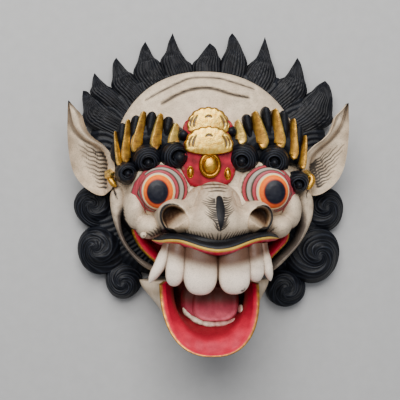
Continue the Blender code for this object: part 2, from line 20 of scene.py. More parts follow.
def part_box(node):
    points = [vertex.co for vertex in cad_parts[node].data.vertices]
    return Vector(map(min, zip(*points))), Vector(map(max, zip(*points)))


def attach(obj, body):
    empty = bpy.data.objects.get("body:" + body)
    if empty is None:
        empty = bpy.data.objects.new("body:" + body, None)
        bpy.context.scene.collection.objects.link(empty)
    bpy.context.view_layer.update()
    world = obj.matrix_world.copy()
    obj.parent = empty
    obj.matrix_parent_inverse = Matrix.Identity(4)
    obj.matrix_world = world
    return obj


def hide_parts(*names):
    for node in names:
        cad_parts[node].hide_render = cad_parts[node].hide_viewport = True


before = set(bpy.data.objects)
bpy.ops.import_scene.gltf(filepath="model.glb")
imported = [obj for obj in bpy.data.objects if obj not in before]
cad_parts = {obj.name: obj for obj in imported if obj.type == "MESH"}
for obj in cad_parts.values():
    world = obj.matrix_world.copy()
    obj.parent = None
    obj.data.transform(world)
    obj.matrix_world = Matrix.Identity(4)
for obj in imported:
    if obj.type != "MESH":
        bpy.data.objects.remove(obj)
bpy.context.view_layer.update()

LOG = logging.getLogger("mask")
Array = np.ndarray
Point = tuple[float, float]
Place = tuple[float, float, float]
Line = tuple[Point, ...]
Lines = tuple[Line, ...]
Rows = tuple[tuple[float, ...], ...]
Tree = bpy.types.NodeTree
Socket = bpy.types.NodeSocket
MM = 0.001
SIDES = (-1, 1)  # the mask's -x and +x halves
CURL_STRANDS = 8  # how many strands wind side by side into a curl


def carver_shift() -> Array:
    """The shift in millimetres from the carver's frame to the model's, found from the jaw's box.

    Returns:
        The shift.
    """
    low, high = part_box("lower_jaw")
    middle_x = 0.5 * (low.x + high.x) / MM
    return np.array([middle_x - LowerJaw.middle_x, low.y / MM - LowerJaw.chin_y, 0])


# ---- paint


class Paint(Enum):
    """The mask's paints, as display values from 0 to 255."""

    HAIR = (12, 14, 20)
    # Painted sheen on the black hair
    HAIR_SHEEN = (42, 46, 56)
    # Dust, and painted sheen, on the black hair
    HAIR_DUST_AND_SHEEN = (56, 54, 54)
    CREAM = (221, 200, 173)
    CREAM_SHADE = (172, 149, 123)
    # Brown for painted shade in creases, recesses and under things, and for stains
    SHADE_AND_DIRT = (112, 88, 70)
    INK = (12, 12, 17)
    SLATE = (66, 70, 76)
    # Dark grey-brown for fold lines, and for painted shade
    FOLD_LINE_AND_SHADE = (62, 54, 56)
    GOLD = (222, 168, 62)
    GOLD_DEEP = (158, 108, 32)
    GOLD_PALE = (250, 214, 112)
    RED = (194, 26, 54)
    RED_DEEP = (120, 20, 30)
    CRIMSON = (186, 48, 74)
    ORANGE = (240, 108, 20)
    RUST = (176, 62, 40)
    PUPIL = (10, 12, 26)
    SAGE = (168, 166, 154)
    OCHRE = (150, 112, 66)
    BROWN = (78, 50, 36)
    TONGUE = (222, 104, 120)
    TONGUE_DEEP = (168, 58, 76)
    TOOTH = (255, 236, 216)
    WOOD = (168, 128, 86)

    @property
    def light(self) -> Array:
        """The paint's linear light, red, green and blue."""
        value = np.array(self.value) / 255
        return np.where(value <= 0.04045, value / 12.92, ((value + 0.055) / 1.055) ** 2.4)


def inside(distance: Array, softness: float = 0.35) -> Array:
    """How much of a point an area covers: 1 where its distance is below 0, fading over the softness."""
    return np.clip(0.5 - distance / (2 * softness), 0, 1)


def rise(value: Array, low: float, high: float) -> Array:
    """A smooth step: 0 below low, 1 above high, and 3t^2 - 2t^3 between them."""
    t = np.clip((value - low) / (high - low), 0, 1)
    return t * t * (3 - 2 * t)


@dataclass
class Coat:
    """The paint on one surface: a colour and a share of gold leaf at each vertex."""

    colour: Array
    gilt: Array

    def lay(self, pigment: Paint, cover: Array, gilt: float = 0) -> None:
        """Lays a pigment, with gold leaf where gilt is 1, over what is there. Cover runs from 0 to 1."""
        self.colour += cover[:, None] * (pigment.light - self.colour)
        self.gilt += cover * (gilt - self.gilt)


def curve_through(points: Rows, count: int = 60) -> Array:
    """A smooth line through points: Catmull-Rom cubics with doubled ends, evenly spaced by length.

    Args:
        points: the points it passes through.
        count: how many samples to return.

    Returns:
        Samples, shaped (count, dimensions).
    """
    known = np.asarray(points, float)
    known = np.vstack([2 * known[0] - known[1], known, 2 * known[-1] - known[-2]])
    place = np.linspace(0, len(known) - 3 - 1e-9, 8 * count)
    piece = place.astype(int)
    t = (place - piece)[:, None]
    a, b, c, d = (known[piece + k] for k in range(4))
    curve = 0.5 * (2 * b + (c - a) * t + (2 * a - 5 * b + 4 * c - d) * t**2
                   + (3 * b - a - 3 * c + d) * t**3)
    length = np.concatenate([[0], np.cumsum(np.linalg.norm(np.diff(curve[:, :2], axis=0), axis=1))])
    even = np.linspace(0, length[-1], count)
    return np.column_stack([np.interp(even, length, column) for column in curve.T])


def to_line(x: Array, y: Array, line: Array, widths: Array | float) -> Array:
    """Signed distance in plan to a line whose width changes along it.

    It is the least, over the line's pieces, of the distance to the piece less the half-width there.

    Args:
        x, y: the points.
        line: its corners, shaped (count, 2).
        widths: its half-width, one or one at each corner.

    Returns:
        The distance, negative inside the line.
    """
    wide = np.broadcast_to(np.asarray(widths, float), (len(line),))
    nearest = np.full(x.shape, 1e9)
    for start, end, first, last in zip(line[:-1], line[1:], wide[:-1], wide[1:]):
        run = end - start
        length = max(float(run @ run), 1e-9)
        t = np.clip(((x - start[0]) * run[0] + (y - start[1]) * run[1]) / length, 0, 1)
        gap = np.hypot(x - start[0] - t * run[0], y - start[1] - t * run[1])
        nearest = np.minimum(nearest, gap - (first + (last - first) * t))
    return nearest


def pointed(count: int, half_width: float, blunt: float = 0.5) -> Array:
    """Half-widths of a brush stroke that is full in the middle and pointed at both ends."""
    return half_width * np.sin(np.linspace(0.06, math.pi - 0.06, count)) ** blunt


def trailing(count: int, half_width: float) -> Array:
    """Half-widths of a brush stroke that starts full and runs out to a point."""
    return half_width * np.linspace(1, 0.08, count) ** 0.7


def to_oval(x: Array, y: Array, centre: Point, size: Point) -> Array:
    """About the signed distance to an oval: its level function less 1, times its smaller half-axis."""
    level = np.hypot((x - centre[0]) / size[0], (y - centre[1]) / size[1])
    return (level - 1) * min(size)


def drift(x: Array, y: Array, wavelength: float, seed: int) -> Array:
    """Smooth irregularity, mostly between -1 and 1: a quarter of the sum of eight random sines.

    Args:
        x, y: the points.
        wavelength: the middle of the sines' wavelengths.
        seed: picks the directions and phases.

    Returns:
        The value at each point.
    """
    draw = np.random.default_rng(seed)
    total = np.zeros(np.broadcast(x, y).shape)
    for turn, phase, stretch in draw.uniform((0, 0, 0.6), (math.pi, 6.3, 1.7), (8, 3)):
        wave = 2 * math.pi / (wavelength * stretch)
        total += np.sin(wave * (x * math.cos(turn) + y * math.sin(turn)) + phase)
    return total / 4


def patches(x: Array, y: Array, wavelength: float, seed: int, share: float = 0, swing: float = 1) -> Array:
    """Cover of soft patches: share plus swing times the drift, held between 0 and 1."""
    return np.clip(share + swing * drift(x, y, wavelength, seed), 0, 1)


# ---- shapes


@dataclass
class Surface:
    """A closed surface: its vertices, and the faces between them, all turned outwards."""

    points: Array
    quads: Array
    triangles: Array

    @classmethod
    def from_rings(cls, rings: Array, start: Array | None = None, end: Array | None = None) -> Surface:
        """A stack of closed loops, with a fan of triangles to a point at each end.

        Args:
            rings: the loops, shaped (levels, around, 3).
            start, end: the points that close it. Each is its loop's middle if left out.

        Returns:
            The surface. Its last two vertices are start and end.
        """
        levels, around, _ = rings.shape
        start = rings[0].mean(axis=0) if start is None else np.asarray(start, float)
        end = rings[-1].mean(axis=0) if end is None else np.asarray(end, float)
        index = np.arange(levels * around).reshape(levels, around)
        after = np.roll(index, -1, axis=1)
        quads = np.stack([index[:-1], after[:-1], after[1:], index[1:]], -1).reshape(-1, 4)
        first, last = levels * around, levels * around + 1
        low = np.stack([after[0], index[0], np.full(around, first)], 1)
        high = np.stack([index[-1], after[-1], np.full(around, last)], 1)
        return cls(np.vstack([rings.reshape(-1, 3), start, end]), quads, np.vstack([low, high])).outward()

    @classmethod
    def from_hoop(cls, grid: Array) -> Surface:
        """A tube closed on itself: the grid, shaped (stations, around, 3), wraps both ways.

        Args:
            grid: the points.

        Returns:
            The surface.
        """
        stations, around, _ = grid.shape
        index = np.arange(stations * around).reshape(stations, around)
        after, above = np.roll(index, -1, axis=1), np.roll(index, -1, axis=0)
        quads = np.stack([index, after, np.roll(above, -1, axis=1), above], -1).reshape(-1, 4)
        return cls(grid.reshape(-1, 3), quads, np.zeros((0, 3), int)).outward()

    def outward(self) -> Surface:
        """The same surface, turned round if the sum of its triangles' triple products is negative.

        Returns:
            The surface, with its faces outwards.
        """
        q = self.quads
        corners = np.vstack([self.triangles, q[:, [0, 1, 2]], q[:, [0, 2, 3]]])
        a, b, c = (self.points[corners[:, k]] - self.points.mean(axis=0) for k in range(3))
        if np.einsum("ij,ij->", a, np.cross(b, c)) < 0:
            return Surface(self.points, q[:, ::-1], self.triangles[:, ::-1])
        return self

    def mirrored(self, shift: float = 0) -> Surface:
        """Its mirror image about the middle of the face, moved along x by shift."""
        points = self.points * (-1, 1, 1) + (shift, 0, 0)
        return Surface(points, self.quads[:, ::-1], self.triangles[:, ::-1])

    def coat(self, pigment: Paint, gilt: float = 0) -> Coat:
        """One pigment all over it."""
        count = len(self.points)
        return Coat(np.tile(pigment.light, (count, 1)), np.full(count, gilt, float))

    @property
    def xyz(self) -> tuple[Array, Array, Array]:
        """Its vertices' x, y and z."""
        return self.points[:, 0], self.points[:, 1], self.points[:, 2]


def steps(count: int) -> Array:
    """Even steps from 0 to 1."""
    return np.linspace(0, 1, count)


def swollen(value: Array, power: Array | float) -> Array:
    """A value raised to a power with its sign kept, which rounds off or squares up a section."""
    return np.sign(value) * np.abs(value) ** power


def bump(gap: Array, width: float) -> Array:
    """A Gaussian bump: exp of minus the square of the gap over the width."""
    return np.exp(-((gap / width) ** 2))


def with_poles(grid: Array, start: float = 0, end: float = 0) -> Array:
    """Values on a grid of rings, followed by the values at the two points that close it."""
    return np.concatenate([grid.ravel(), [start, end]])


def grid_of(x: Array, y: Array, z: Array) -> Array:
    """A grid of points from their x, y and z, each spread over the whole grid."""
    return np.stack(np.broadcast_arrays(x, y, z), -1)


def polar(centre: tuple[Array | float, Array | float], reach: Array, angles: Array) -> tuple[Array, Array]:
    """The x and y of points at the given reach from a centre, in each direction."""
    return centre[0] + reach * np.cos(angles), centre[1] + reach * np.sin(angles)


def circle(count: int) -> Array:
    """Evenly spread angles round a circle."""
    return np.arange(count) * 2 * math.pi / count


def oval_reach(angles: Array, half_width: float, above: float, below: float, squareness: float) -> Array:
    """Distance from the middle to a superellipse that is taller above than below.

    Args:
        angles: the directions, from +x towards +y.
        half_width, above, below: its half-axes.
        squareness: the superellipse's power, 2 for an ellipse.

    Returns:
        The distance in each direction.
    """
    height = np.where(np.sin(angles) > 0, above, below)
    level = np.abs(np.cos(angles) / half_width) ** squareness
    level += np.abs(np.sin(angles) / height) ** squareness
    return level ** (-1 / squareness)


def smooth_max(heights: list[Array], blend: float) -> Array:
    """The highest of several heights, rounded where they meet: blend times log of the sum of exp.

    Args:
        heights: the heights of the same points.
        blend: how far the rounding reaches.

    Returns:
        The joined height.
    """
    stack = np.stack(np.broadcast_arrays(*heights))
    peak = stack.max(axis=0)
    return peak + blend * np.log(np.exp((stack - peak) / blend).sum(axis=0))


def swell(x: Array, y: Array, place: tuple[float, ...], size: tuple[float, ...]) -> Array:
    """Height of an ellipsoid's upper half, which falls away steeply outside its outline.

    Args:
        x, y: the points.
        place, size: the ellipsoid's middle and half-axes.

    Returns:
        The height.
    """
    level = np.hypot((x - place[0]) / size[0], (y - place[1]) / size[1])
    top = place[2] + size[2] * np.sqrt(np.clip(1 - level**2, 0, 1))
    return np.where(level < 1, top, place[2] - 90 * (level - 1))


def ball(place: tuple[float, ...], size: tuple[float, ...], around: int = 48, levels: int = 28) -> Surface:
    """An ellipsoid about its middle, from lines of longitude and latitude.

    Args:
        place, size: its middle and half-axes.
        around, levels: how many points it has round it and from pole to pole.

    Returns:
        The surface.
    """
    tilt = np.linspace(0, math.pi, levels + 1)[1:-1, None]
    turn = circle(around)[None, :]
    rings = np.stack([np.sin(tilt) * np.cos(turn), np.sin(tilt) * np.sin(turn),
                      -np.cos(tilt) * np.ones_like(turn)], -1) * size + place
    pole = np.array([0, 0, size[2]])
    return Surface.from_rings(rings, place - pole, place + pole)


def sweep(path: Array, half_widths: Array, half_heights: Array, around: int,
          relief: Array | float = 0, boxy: float = 1) -> Array:
    """Rings of an oval section carried along a path in plan.

    A point at section angle a lies across the path by the half-width times cos a, and above it by
    the half-height times sin a. Relief is added to both.

    Args:
        path: points shaped (stations, 3).
        half_widths, half_heights: the section's half-axes at each station.
        around: how many points a section has.
        relief: outward growth, one or one at each point.
        boxy: the power of the cosine and sine. Below 1, the section is a rounded box.

    Returns:
        The rings, shaped (stations, around, 3).
    """
    run = np.gradient(path[:, :2], axis=0)
    run /= np.linalg.norm(run, axis=1, keepdims=True)
    turn = circle(around)
    across = (half_widths[:, None] + relief) * swollen(np.cos(turn), boxy)
    up = (half_heights[:, None] + relief) * swollen(np.sin(turn), boxy)
    return np.stack([path[:, :1] - run[:, 1:] * across, path[:, 1:2] + run[:, :1] * across,
                     path[:, 2:] + up], -1)


def between(first: Array, second: Array, across: Array) -> Array:
    """Plan points between two edges: across runs from -1 at the first edge to 1 at the second."""
    return 0.5 * (first + second)[:, None, :] + 0.5 * across[None, :, None] * (second - first)[:, None, :]


def ribbon(first: Array, second: Array, middle: Array | float, half_height: Array | float, around: int,
           boxy: float = 0.7) -> Array:
    """Rings of a rounded section that fills the plan between two edges.

    A point at section angle a lies cos a of the way from the middle to the second edge, and the
    half-height times sin a, raised to the boxy power, above the middle height.

    Args:
        first, second: the edges' plans, shaped (stations, 2).
        middle, half_height: heights, one or one for each station.
        around: how many points a section has.
        boxy: the power of the sine. Below 1, the top is flatter.

    Returns:
        The rings, shaped (stations, around, 3).
    """
    turn = circle(around)
    plan = between(first, second, np.cos(turn))
    middle = np.broadcast_to(middle, (len(first),))[:, None]
    half_height = np.broadcast_to(half_height, (len(first),))[:, None]
    z = middle + half_height * swollen(np.sin(turn), boxy)
    return np.concatenate([plan, z[:, :, None]], 2)


# ---- finishes


def plug(tree: Tree, made: bpy.types.Node, **inputs: object) -> None:
    """Sets or links a node's inputs, named with underscores for spaces, and sets its own options.

    Args:
        tree: the material's nodes.
        made: the node.
        inputs: a value or a link for each input, or an option's value.
    """
    for name, value in inputs.items():
        if hasattr(made, name):
            setattr(made, name, value)
        elif isinstance(value, Socket):
            tree.links.new(value, made.inputs[name.replace("_", " ")])
        else:
            made.inputs[name.replace("_", " ")].default_value = value


def node(tree: Tree, kind: str, output: str, **inputs: object) -> Socket:
    """Adds a shader node of one kind with its inputs, and gives one of its outputs.

    Args:
        tree: the material's nodes.
        kind: its type, without the word ShaderNode.
        output: which output is wanted.
        inputs: a value or a link for each input, or an option's value.

    Returns:
        The output.
    """
    made = tree.nodes.new(f"ShaderNode{kind}")
    plug(tree, made, **inputs)
    return made.outputs[output]


@dataclass(frozen=True)
class Finish:
    """A painted surface's sheen and small irregularities. Lengths are millimetres.

    The colour comes from the piece's paint. Blotches and flecks darken it, grain raises it, and
    gold leaf shines where the piece's gilt says so.
    """

    name: str
    roughness: float
    blotch: float = 0.12
    blotch_size: float = 14
    fleck: float = 0.1
    fleck_size: float = 1.2
    grain: float = 0.10
    grain_size: float = 1.6
    stretch: Place = (1, 1, 1)
    coat: float = 0
    specular: float = 0.5
    # Darker creases are painted shade with some soiling; lighter edges are worn paint with painted sheen
    crease_shade_and_soiling: float = 0.5  # how much darker the creases are
    wear: float = 0.12  # how much lighter the edges are

    def material(self) -> bpy.types.Material:
        """The finish's material, made the first time it is asked for.

        Returns:
            The material.
        """
        known = bpy.data.materials.get(self.name)
        if known is not None:
            return known
        made = bpy.data.materials.new(self.name)
        made.use_nodes = True
        tree = made.node_tree
        where = node(tree, "Mapping", "Vector", Vector=node(tree, "TexCoord", "Object"), Scale=self.stretch)
        paint = node(tree, "Attribute", "Color", attribute_name="paint")
        gilt = node(tree, "Attribute", "Fac", attribute_name="gilt")
        broad = self._noise(tree, where, self.blotch_size, 3)
        fine = self._noise(tree, where, self.fleck_size, 4)
        grain = self._noise(tree, where, self.grain_size, 5)
        darker = self._remap(tree, broad, (0.35, 0.7), (1 - self.blotch, 1 + 0.4 * self.blotch))
        flecked = self._remap(tree, fine, (0.3, 0.52), (1 - self.fleck, 1))
        rough = self._remap(tree, fine, (0.25, 0.75), (self.roughness - 0.08, self.roughness + 0.08))
        for value in (darker, flecked):
            paint = node(tree, "VectorMath", "Vector", operation="SCALE", Vector=paint, Scale=value)
        plug(tree, tree.nodes["Principled BSDF"], Base_Color=paint, Metallic=gilt,
             Coat_Weight=self.coat, Coat_Roughness=0.25,
             Roughness=node(tree, "Mix", "Result", Factor=gilt, A=rough, B=0.34),
             Normal=node(tree, "Bump", "Normal", Height=grain, Distance=self.grain * MM, Strength=1),
             Specular_IOR_Level=self.specular)
        return made

    @staticmethod
    def _noise(tree: Tree, where: Socket, size: float, detail: float) -> Socket:
        """Noise whose features are about the given number of millimetres across."""
        return node(tree, "TexNoise", "Fac", Vector=where, Scale=1 / (size * MM), Detail=detail)

    @staticmethod
    def _remap(tree: Tree, value: Socket, source: Point, target: Point) -> Socket:
        """The value, stretched from one range to another and held within it."""
        return node(tree, "MapRange", "Result", Value=value, From_Min=source[0], From_Max=source[1],
                    To_Min=target[0], To_Max=target[1])


HAIR_PAINT = Finish("hair_black_satin", 0.44, blotch=0.3, blotch_size=9, fleck=0.3, grain=0.2,
                    specular=0.16, crease_shade_and_soiling=0.8, wear=0.7)
FACE_PAINT = Finish("face_cream_satin", 0.5, blotch=0.2, blotch_size=9, fleck=0.3, fleck_size=1.3,
                    grain=0.18, specular=0.2, crease_shade_and_soiling=0.62, wear=0.06)
GOLD_PAINT = Finish("gold_leaf", 0.32, blotch=0.3, blotch_size=5, fleck=0.25, fleck_size=0.9, grain=0.2,
                    wear=0.3)
RED_PAINT = Finish("red_satin", 0.42, blotch=0.2, blotch_size=9, fleck=0.14, grain=0.18, specular=0.15)
TOOTH_PAINT = Finish("tooth_crackled", 0.45, blotch=0.08, blotch_size=7, fleck=0.22, fleck_size=1.2,
                     grain=0.22, specular=0.25)
TONGUE_PAINT = Finish("tongue_pink", 0.5, blotch=0.16, blotch_size=5, fleck=0.12, specular=0.25)
EYE_PAINT = Finish("eye_enamel", 0.42, blotch=0.10, blotch_size=3, fleck=0.12, grain=0.06, specular=0.22)
BARE_WOOD = Finish("bare_wood", 0.65, blotch=0.3, blotch_size=3, fleck=0.25, fleck_size=0.8, grain=0.25,
                   stretch=(1, 0.12, 1))


class Block(Enum):
    """The carved blocks, by their names as solids, with the record's slot for each one's finish."""

    HEAD = ("mask_head", "head_paint")
    JAW = ("lower_jaw", "jaw_paint")
    EAR_LEFT = ("ear_left", "ear_paint")
    EAR_RIGHT = ("ear_right", "ear_paint")


def put(name: str, data: bpy.types.ID) -> bpy.types.Object:
    """Puts an object made from the given data into the scene.

    Args:
        name, data: the object's name, and its mesh, light or camera.

    Returns:
        The object.
    """
    made = bpy.data.objects.new(name, data)
    bpy.context.scene.collection.objects.link(made)
    return made


def bends(mesh: bpy.types.Mesh, rounds: int = 3) -> Array:
    """How sharply a mesh bends at each vertex, per millimetre: above 0 on edges, below 0 in creases.

    An edge's bend is the change of the normal along it, dotted with it, over its length squared.
    A vertex takes the mean of its edges' bends, averaged with its neighbours'.

    Args:
        mesh: a mesh in metres.
        rounds: how often the neighbours are averaged in.

    Returns:
        One number for each vertex.
    """
    count = len(mesh.vertices)
    points, normals = np.empty(3 * count, np.float32), np.empty(3 * count, np.float32)
    ends = np.empty(2 * len(mesh.edges), np.int32)
    mesh.vertices.foreach_get("co", points)
    mesh.vertex_normals.foreach_get("vector", normals)
    mesh.edges.foreach_get("vertices", ends)
    first, second = ends.reshape(-1, 2).T
    points, normals = points.reshape(-1, 3), normals.reshape(-1, 3)
    run = (points[second] - points[first]) / MM
    bend = ((normals[second] - normals[first]) * run).sum(1) / ((run**2).sum(1) + 1e-6)
    degree = np.bincount(ends, minlength=count)
    value = (np.bincount(first, bend, count) + np.bincount(second, bend, count)) / degree
    for _ in range(rounds):
        around = np.bincount(first, value[second], count) + np.bincount(second, value[first], count)
        value = 0.5 * value + 0.5 * around / degree
    return value


def finish_piece(name: str, surface: Surface, coat: Coat, finish: Finish, block: Block = Block.HEAD,
                 bare: Array | None = None) -> bpy.types.Object:
    """Makes a surface a piece of the mask: its mesh, its paint, and the block that it stands for.

    Args:
        name: the piece's name.
        surface: its shape, in the carver's frame.
        coat: its paint.
        finish: its sheen.
        block: the solid that it belongs to.
        bare: which vertices are unpainted wood. A face is bare where all of its corners are.

    Returns:
        The piece's object.
    """
    mesh = bpy.data.meshes.new(name)
    count, quads, triangles = len(surface.points), surface.quads, surface.triangles
    corners = np.concatenate([quads.ravel(), triangles.ravel()]).astype(np.int32)
    starts = np.concatenate([np.arange(len(quads)) * 4, quads.size + np.arange(len(triangles)) * 3])
    mesh.vertices.add(count)
    mesh.vertices.foreach_set("co", ((surface.points + SHIFT) * MM).astype(np.float32).ravel())
    mesh.loops.add(len(corners))
    mesh.loops.foreach_set("vertex_index", corners)
    mesh.polygons.add(len(starts))
    mesh.polygons.foreach_set("loop_start", starts.astype(np.int32))
    mesh.update(calc_edges=True)
    mesh.validate()
    mesh.shade_smooth()
    bend = bends(mesh)
    # By how the surface bends: creases darker, as painted shade with some soiling; edges lighter, as worn
    # paint with painted sheen
    shade_wear_and_sheen = (1 - finish.crease_shade_and_soiling * rise(-bend, 0.02, 0.4)) * (1 + finish.wear * rise(bend, 0.08, 0.6))
    coat.colour = np.clip(coat.colour * shade_wear_and_sheen[:, None], 0, 1)
    paint = mesh.attributes.new("paint", "FLOAT_COLOR", "POINT")
    paint.data.foreach_set("color", np.column_stack([coat.colour, np.ones(count)]).astype(np.float32).ravel())
    gilt = mesh.attributes.new("gilt", "FLOAT", "POINT")
    gilt.data.foreach_set("value", coat.gilt.astype(np.float32))
    mesh.materials.append(finish.material())
    if bare is not None:
        mesh.materials.append(BARE_WOOD.material())
        faces = np.concatenate([bare[quads].all(axis=1), bare[triangles].all(axis=1)])
        mesh.polygons.foreach_set("material_index", faces.astype(np.int32))
    piece = put(name, mesh)
    node, slot = block.value
    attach(piece, "root")
    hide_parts(node)
    LOG.info("%s: %d triangles, %s", name, 2 * len(quads) + len(triangles), finish.name)
    return piece


def black_piece(name: str, surface: Surface, shine: float, patch: float, seed: int) -> None:
    """Makes a plain black piece, with patches of shine of the given size.

    Args:
        name, surface: its name and shape.
        shine, patch: how strong the shine is, and how broad its patches.
        seed: picks the patches.
    """
    coat = surface.coat(Paint.HAIR)
    coat.lay(Paint.HAIR_SHEEN, shine * patches(*surface.xyz[:2], patch, seed))
    finish_piece(name, surface, coat, HAIR_PAINT)


# ---- hair


@dataclass(frozen=True)
class Hollow:
    """The space in the back of the mask that the wearer's face goes into."""

    centre: Point = (-1, 22)
    half_width: float = 90
    above: float = 90
    below: float = 70
    squareness: float = 2.2
    depth: float = 50
    nose: Place = (-1, -8, 40)
    nose_size: Place = (26, 21, 44)

    def edge(self, angles: Array, share: Array | float = 1) -> tuple[Array, Array]:
        """Its outline's x and y in each direction, drawn in to a share of its size."""
        reach = share * oval_reach(angles, self.half_width, self.above, self.below, self.squareness)
        return polar(self.centre, reach, angles)

    def ceiling(self, x: Array, y: Array, share: Array) -> Array:
        """Its height: a dome, depth times (1 - share^2)^0.6, joined to an ellipsoid for the nose."""
        dome = self.depth * np.clip(1 - share**2, 0, 1) ** 0.6
        return smooth_max([dome, swell(x, y, self.nose, self.nose_size)], 1.5) * rise(1 - share, 0, 0.06)


@dataclass
class Hair:
    """The black hair: a plate behind the face, flame-shaped locks over it and curls down its sides."""

    centre: Point = (0, 20)
    half_width: float = 129
    above: float = 119
    below: float = 103
    squareness: float = 3
    rim: float = 15
    crown: float = 22
    around: int = 520
    strands: int = 120
    hollow: Hollow = Hollow()
    hanger: tuple[float, float, float, float] = (0, 122, 3.4, 11)
    lock_root: float = 84
    lock_middle: float = 12.5
    lock_depth: float = 11.5
    lock_spread: float = 2  # how far a lock's body reaches under its neighbours
    strand_width: float = 3.3
    # The notches between the locks, and the far ends of the first and the last lock
    notches: Line = (
        (-133.3, 80), (-124.6, 110.2), (-102.8, 117.5), (-80.5, 132.1), (-52.3, 145.1), (-18.3, 143.2),
        (12.3, 147.7), (41, 142.9), (72.2, 127.7), (104.7, 113.2), (131.5, 82))
    # Each lock's left edge above its notch, its tip and its right edge down to the next notch
    flames: tuple[Lines, ...] = (
        (((-133.6, 94.4), (-134.8, 106.6)), ((-134.2, 115.5),), ((-130.6, 115.2), (-127.2, 113))),
        (((-124.6, 120.7), (-123.8, 128.6)), ((-121.9, 134.5),), ((-115.9, 127.8), (-108.1, 120.9))),
        (((-103, 129.7), (-102.7, 143.8)), ((-99, 151),), ((-93.2, 143.9), (-86.6, 136.4))),
        (((-76.4, 147.6), (-72.9, 160.3)), ((-68.2, 168.5),), ((-64, 161), (-59, 151.7))),
        (((-46.5, 157.7), (-43.5, 168.3)), ((-39.1, 178),), ((-35.8, 169.3), (-31.3, 159.1), (-24.6, 149.2))),
        (((-12.2, 151.5), (-5.5, 160.4)), ((0.7, 168),), ((7, 162), (10, 154.1))),
        (((18.4, 161.3), (21, 173.3)), ((24.8, 179),), ((30, 172.1), (35.5, 161.1))),
        (((50.6, 152.8), (56.7, 166.3)), ((60.3, 175.5),), ((62.8, 166.3), (66.7, 151.3))),
        (((82.2, 133.1), (90.7, 145.4)), ((95.6, 153.5),), ((99.6, 145.5), (102.8, 130.3))),
        (((111.1, 117.6), (117.9, 124.2)), ((126, 129),), ((131, 121.7), (133.6, 109.2), (133.4, 93.1))))
    # Each side curl's middle, the eye of its spiral, its radius, its height and its hand
    curls: Rows = (
        (-119, -6, -125, -6, 24, 27, 1), (-114, -52, -123, -50, 26, 30, 1),
        (-91, -85, -93, -89, 19.5, 25, -1), (122, -10, 126, -8, 24, 27, -1),
        (110, -58, 117, -60, 31, 31, -1), (83, -94, 82, -96, 21, 25, 1))

    def build(self) -> None:
        """Makes every piece of the hair."""
        self._plate()
        for number in range(len(self.flames)):
            self._lock(number)
        for number, (x, y, eye_x, eye_y, radius, top, hand) in enumerate(self.curls, 1):
            surface, coat = coil((x, y), (eye_x, eye_y), radius, top, hand)
            finish_piece(f"side_curl_{number}", surface, coat, HAIR_PAINT)

    def _plate(self) -> None:
        """The plate: a hoop whose section runs out over the flat back, up the edge and in again.

        Its top is ridged by radial strands, a cosine of the angle that swings as it goes in.
        """
        angles = circle(self.around)
        reach = oval_reach(angles, self.half_width, self.above, self.below, self.squareness)
        outer = np.stack(polar(self.centre, reach, angles))
        inner = np.stack(self.hollow.edge(angles, 1.02))
        stations = np.concatenate([steps(24), np.full(5, 1), np.linspace(1, 0.3, 18), [0, 0]])
        heights = np.concatenate([np.zeros(24), self.rim * np.array([0.08, 0.3, 0.6, 0.85, 0.97]),
                                  np.interp(np.linspace(1, 0.3, 18), (0.3, 0.8, 1),
                                            (self.crown, self.crown - 1.5, self.rim)), [self.crown, 8]])
        plan = inner[:, None, :] + stations[None, :, None] * (outer - inner)[:, None, :]
        strand = np.cos(self.strands * angles + 5 * np.sin(3 * angles)
                        + 2.5 * np.sin(6 * stations[:, None] + 4 * angles))
        on_top = (heights > self.rim * 0.9)[:, None]
        z = heights[:, None] + 0.6 * strand * on_top
        x, y, radius, deep = plan[0], plan[1], self.hanger[2], self.hanger[3]
        hole = np.hypot(x - self.hanger[0], y - self.hanger[1])
        z = np.where(on_top | (hole > radius), z, deep * rise(radius - hole, 0, 0.8))
        surface = Surface.from_hoop(grid_of(x, y, z))
        coat = surface.coat(Paint.HAIR)
        # Painted sheen on the ridges of the strands
        coat.lay(Paint.HAIR_SHEEN, 0.35 * np.clip(strand * on_top, 0, 1).ravel())
        bare = (np.broadcast_to(z, x.shape) < 1).ravel()
        finish_piece("hair_plate", surface, coat, HAIR_PAINT, bare=bare)

    def _edge(self, notch: Point, points: Line, tip: Array, outwards: float) -> Array:
        """One edge of a lock: from its root, in the notch's direction, past the notch and to the tip.

        Args:
            notch, points, tip: where the edge runs.
            outwards: how far its root reaches under the next lock, with the sign of that side.

        Returns:
            The edge, from root to tip.
        """
        centre = np.array(self.centre)
        way = (np.array(notch) - centre) / np.linalg.norm(np.array(notch) - centre)
        wider = outwards * np.array([-way[1], way[0]])
        root = centre + self.lock_root * way
        start = [root + 1.6 * wider, 0.5 * (root + notch) + wider, np.array(notch) + 0.15 * wider]
        return curve_through([*start, *points, tip], 80)

    def _lock(self, number: int) -> None:
        """One flame of hair between its two edges, with an oval section.

        A point at section angle a lies cos a of the way across and the depth times the square root
        of sin a above the middle. Strands run along it at even steps across, and swing a little.

        Args:
            number: which lock this is.
        """
        left_points, (tip,), right_points = self.flames[number]
        left = self._edge(self.notches[number], left_points, np.array(tip), self.lock_spread)
        right = self._edge(self.notches[number + 1], right_points[::-1], np.array(tip), -self.lock_spread)
        t = steps(80)[:-1, None]
        left, right = left[:-1], right[:-1]
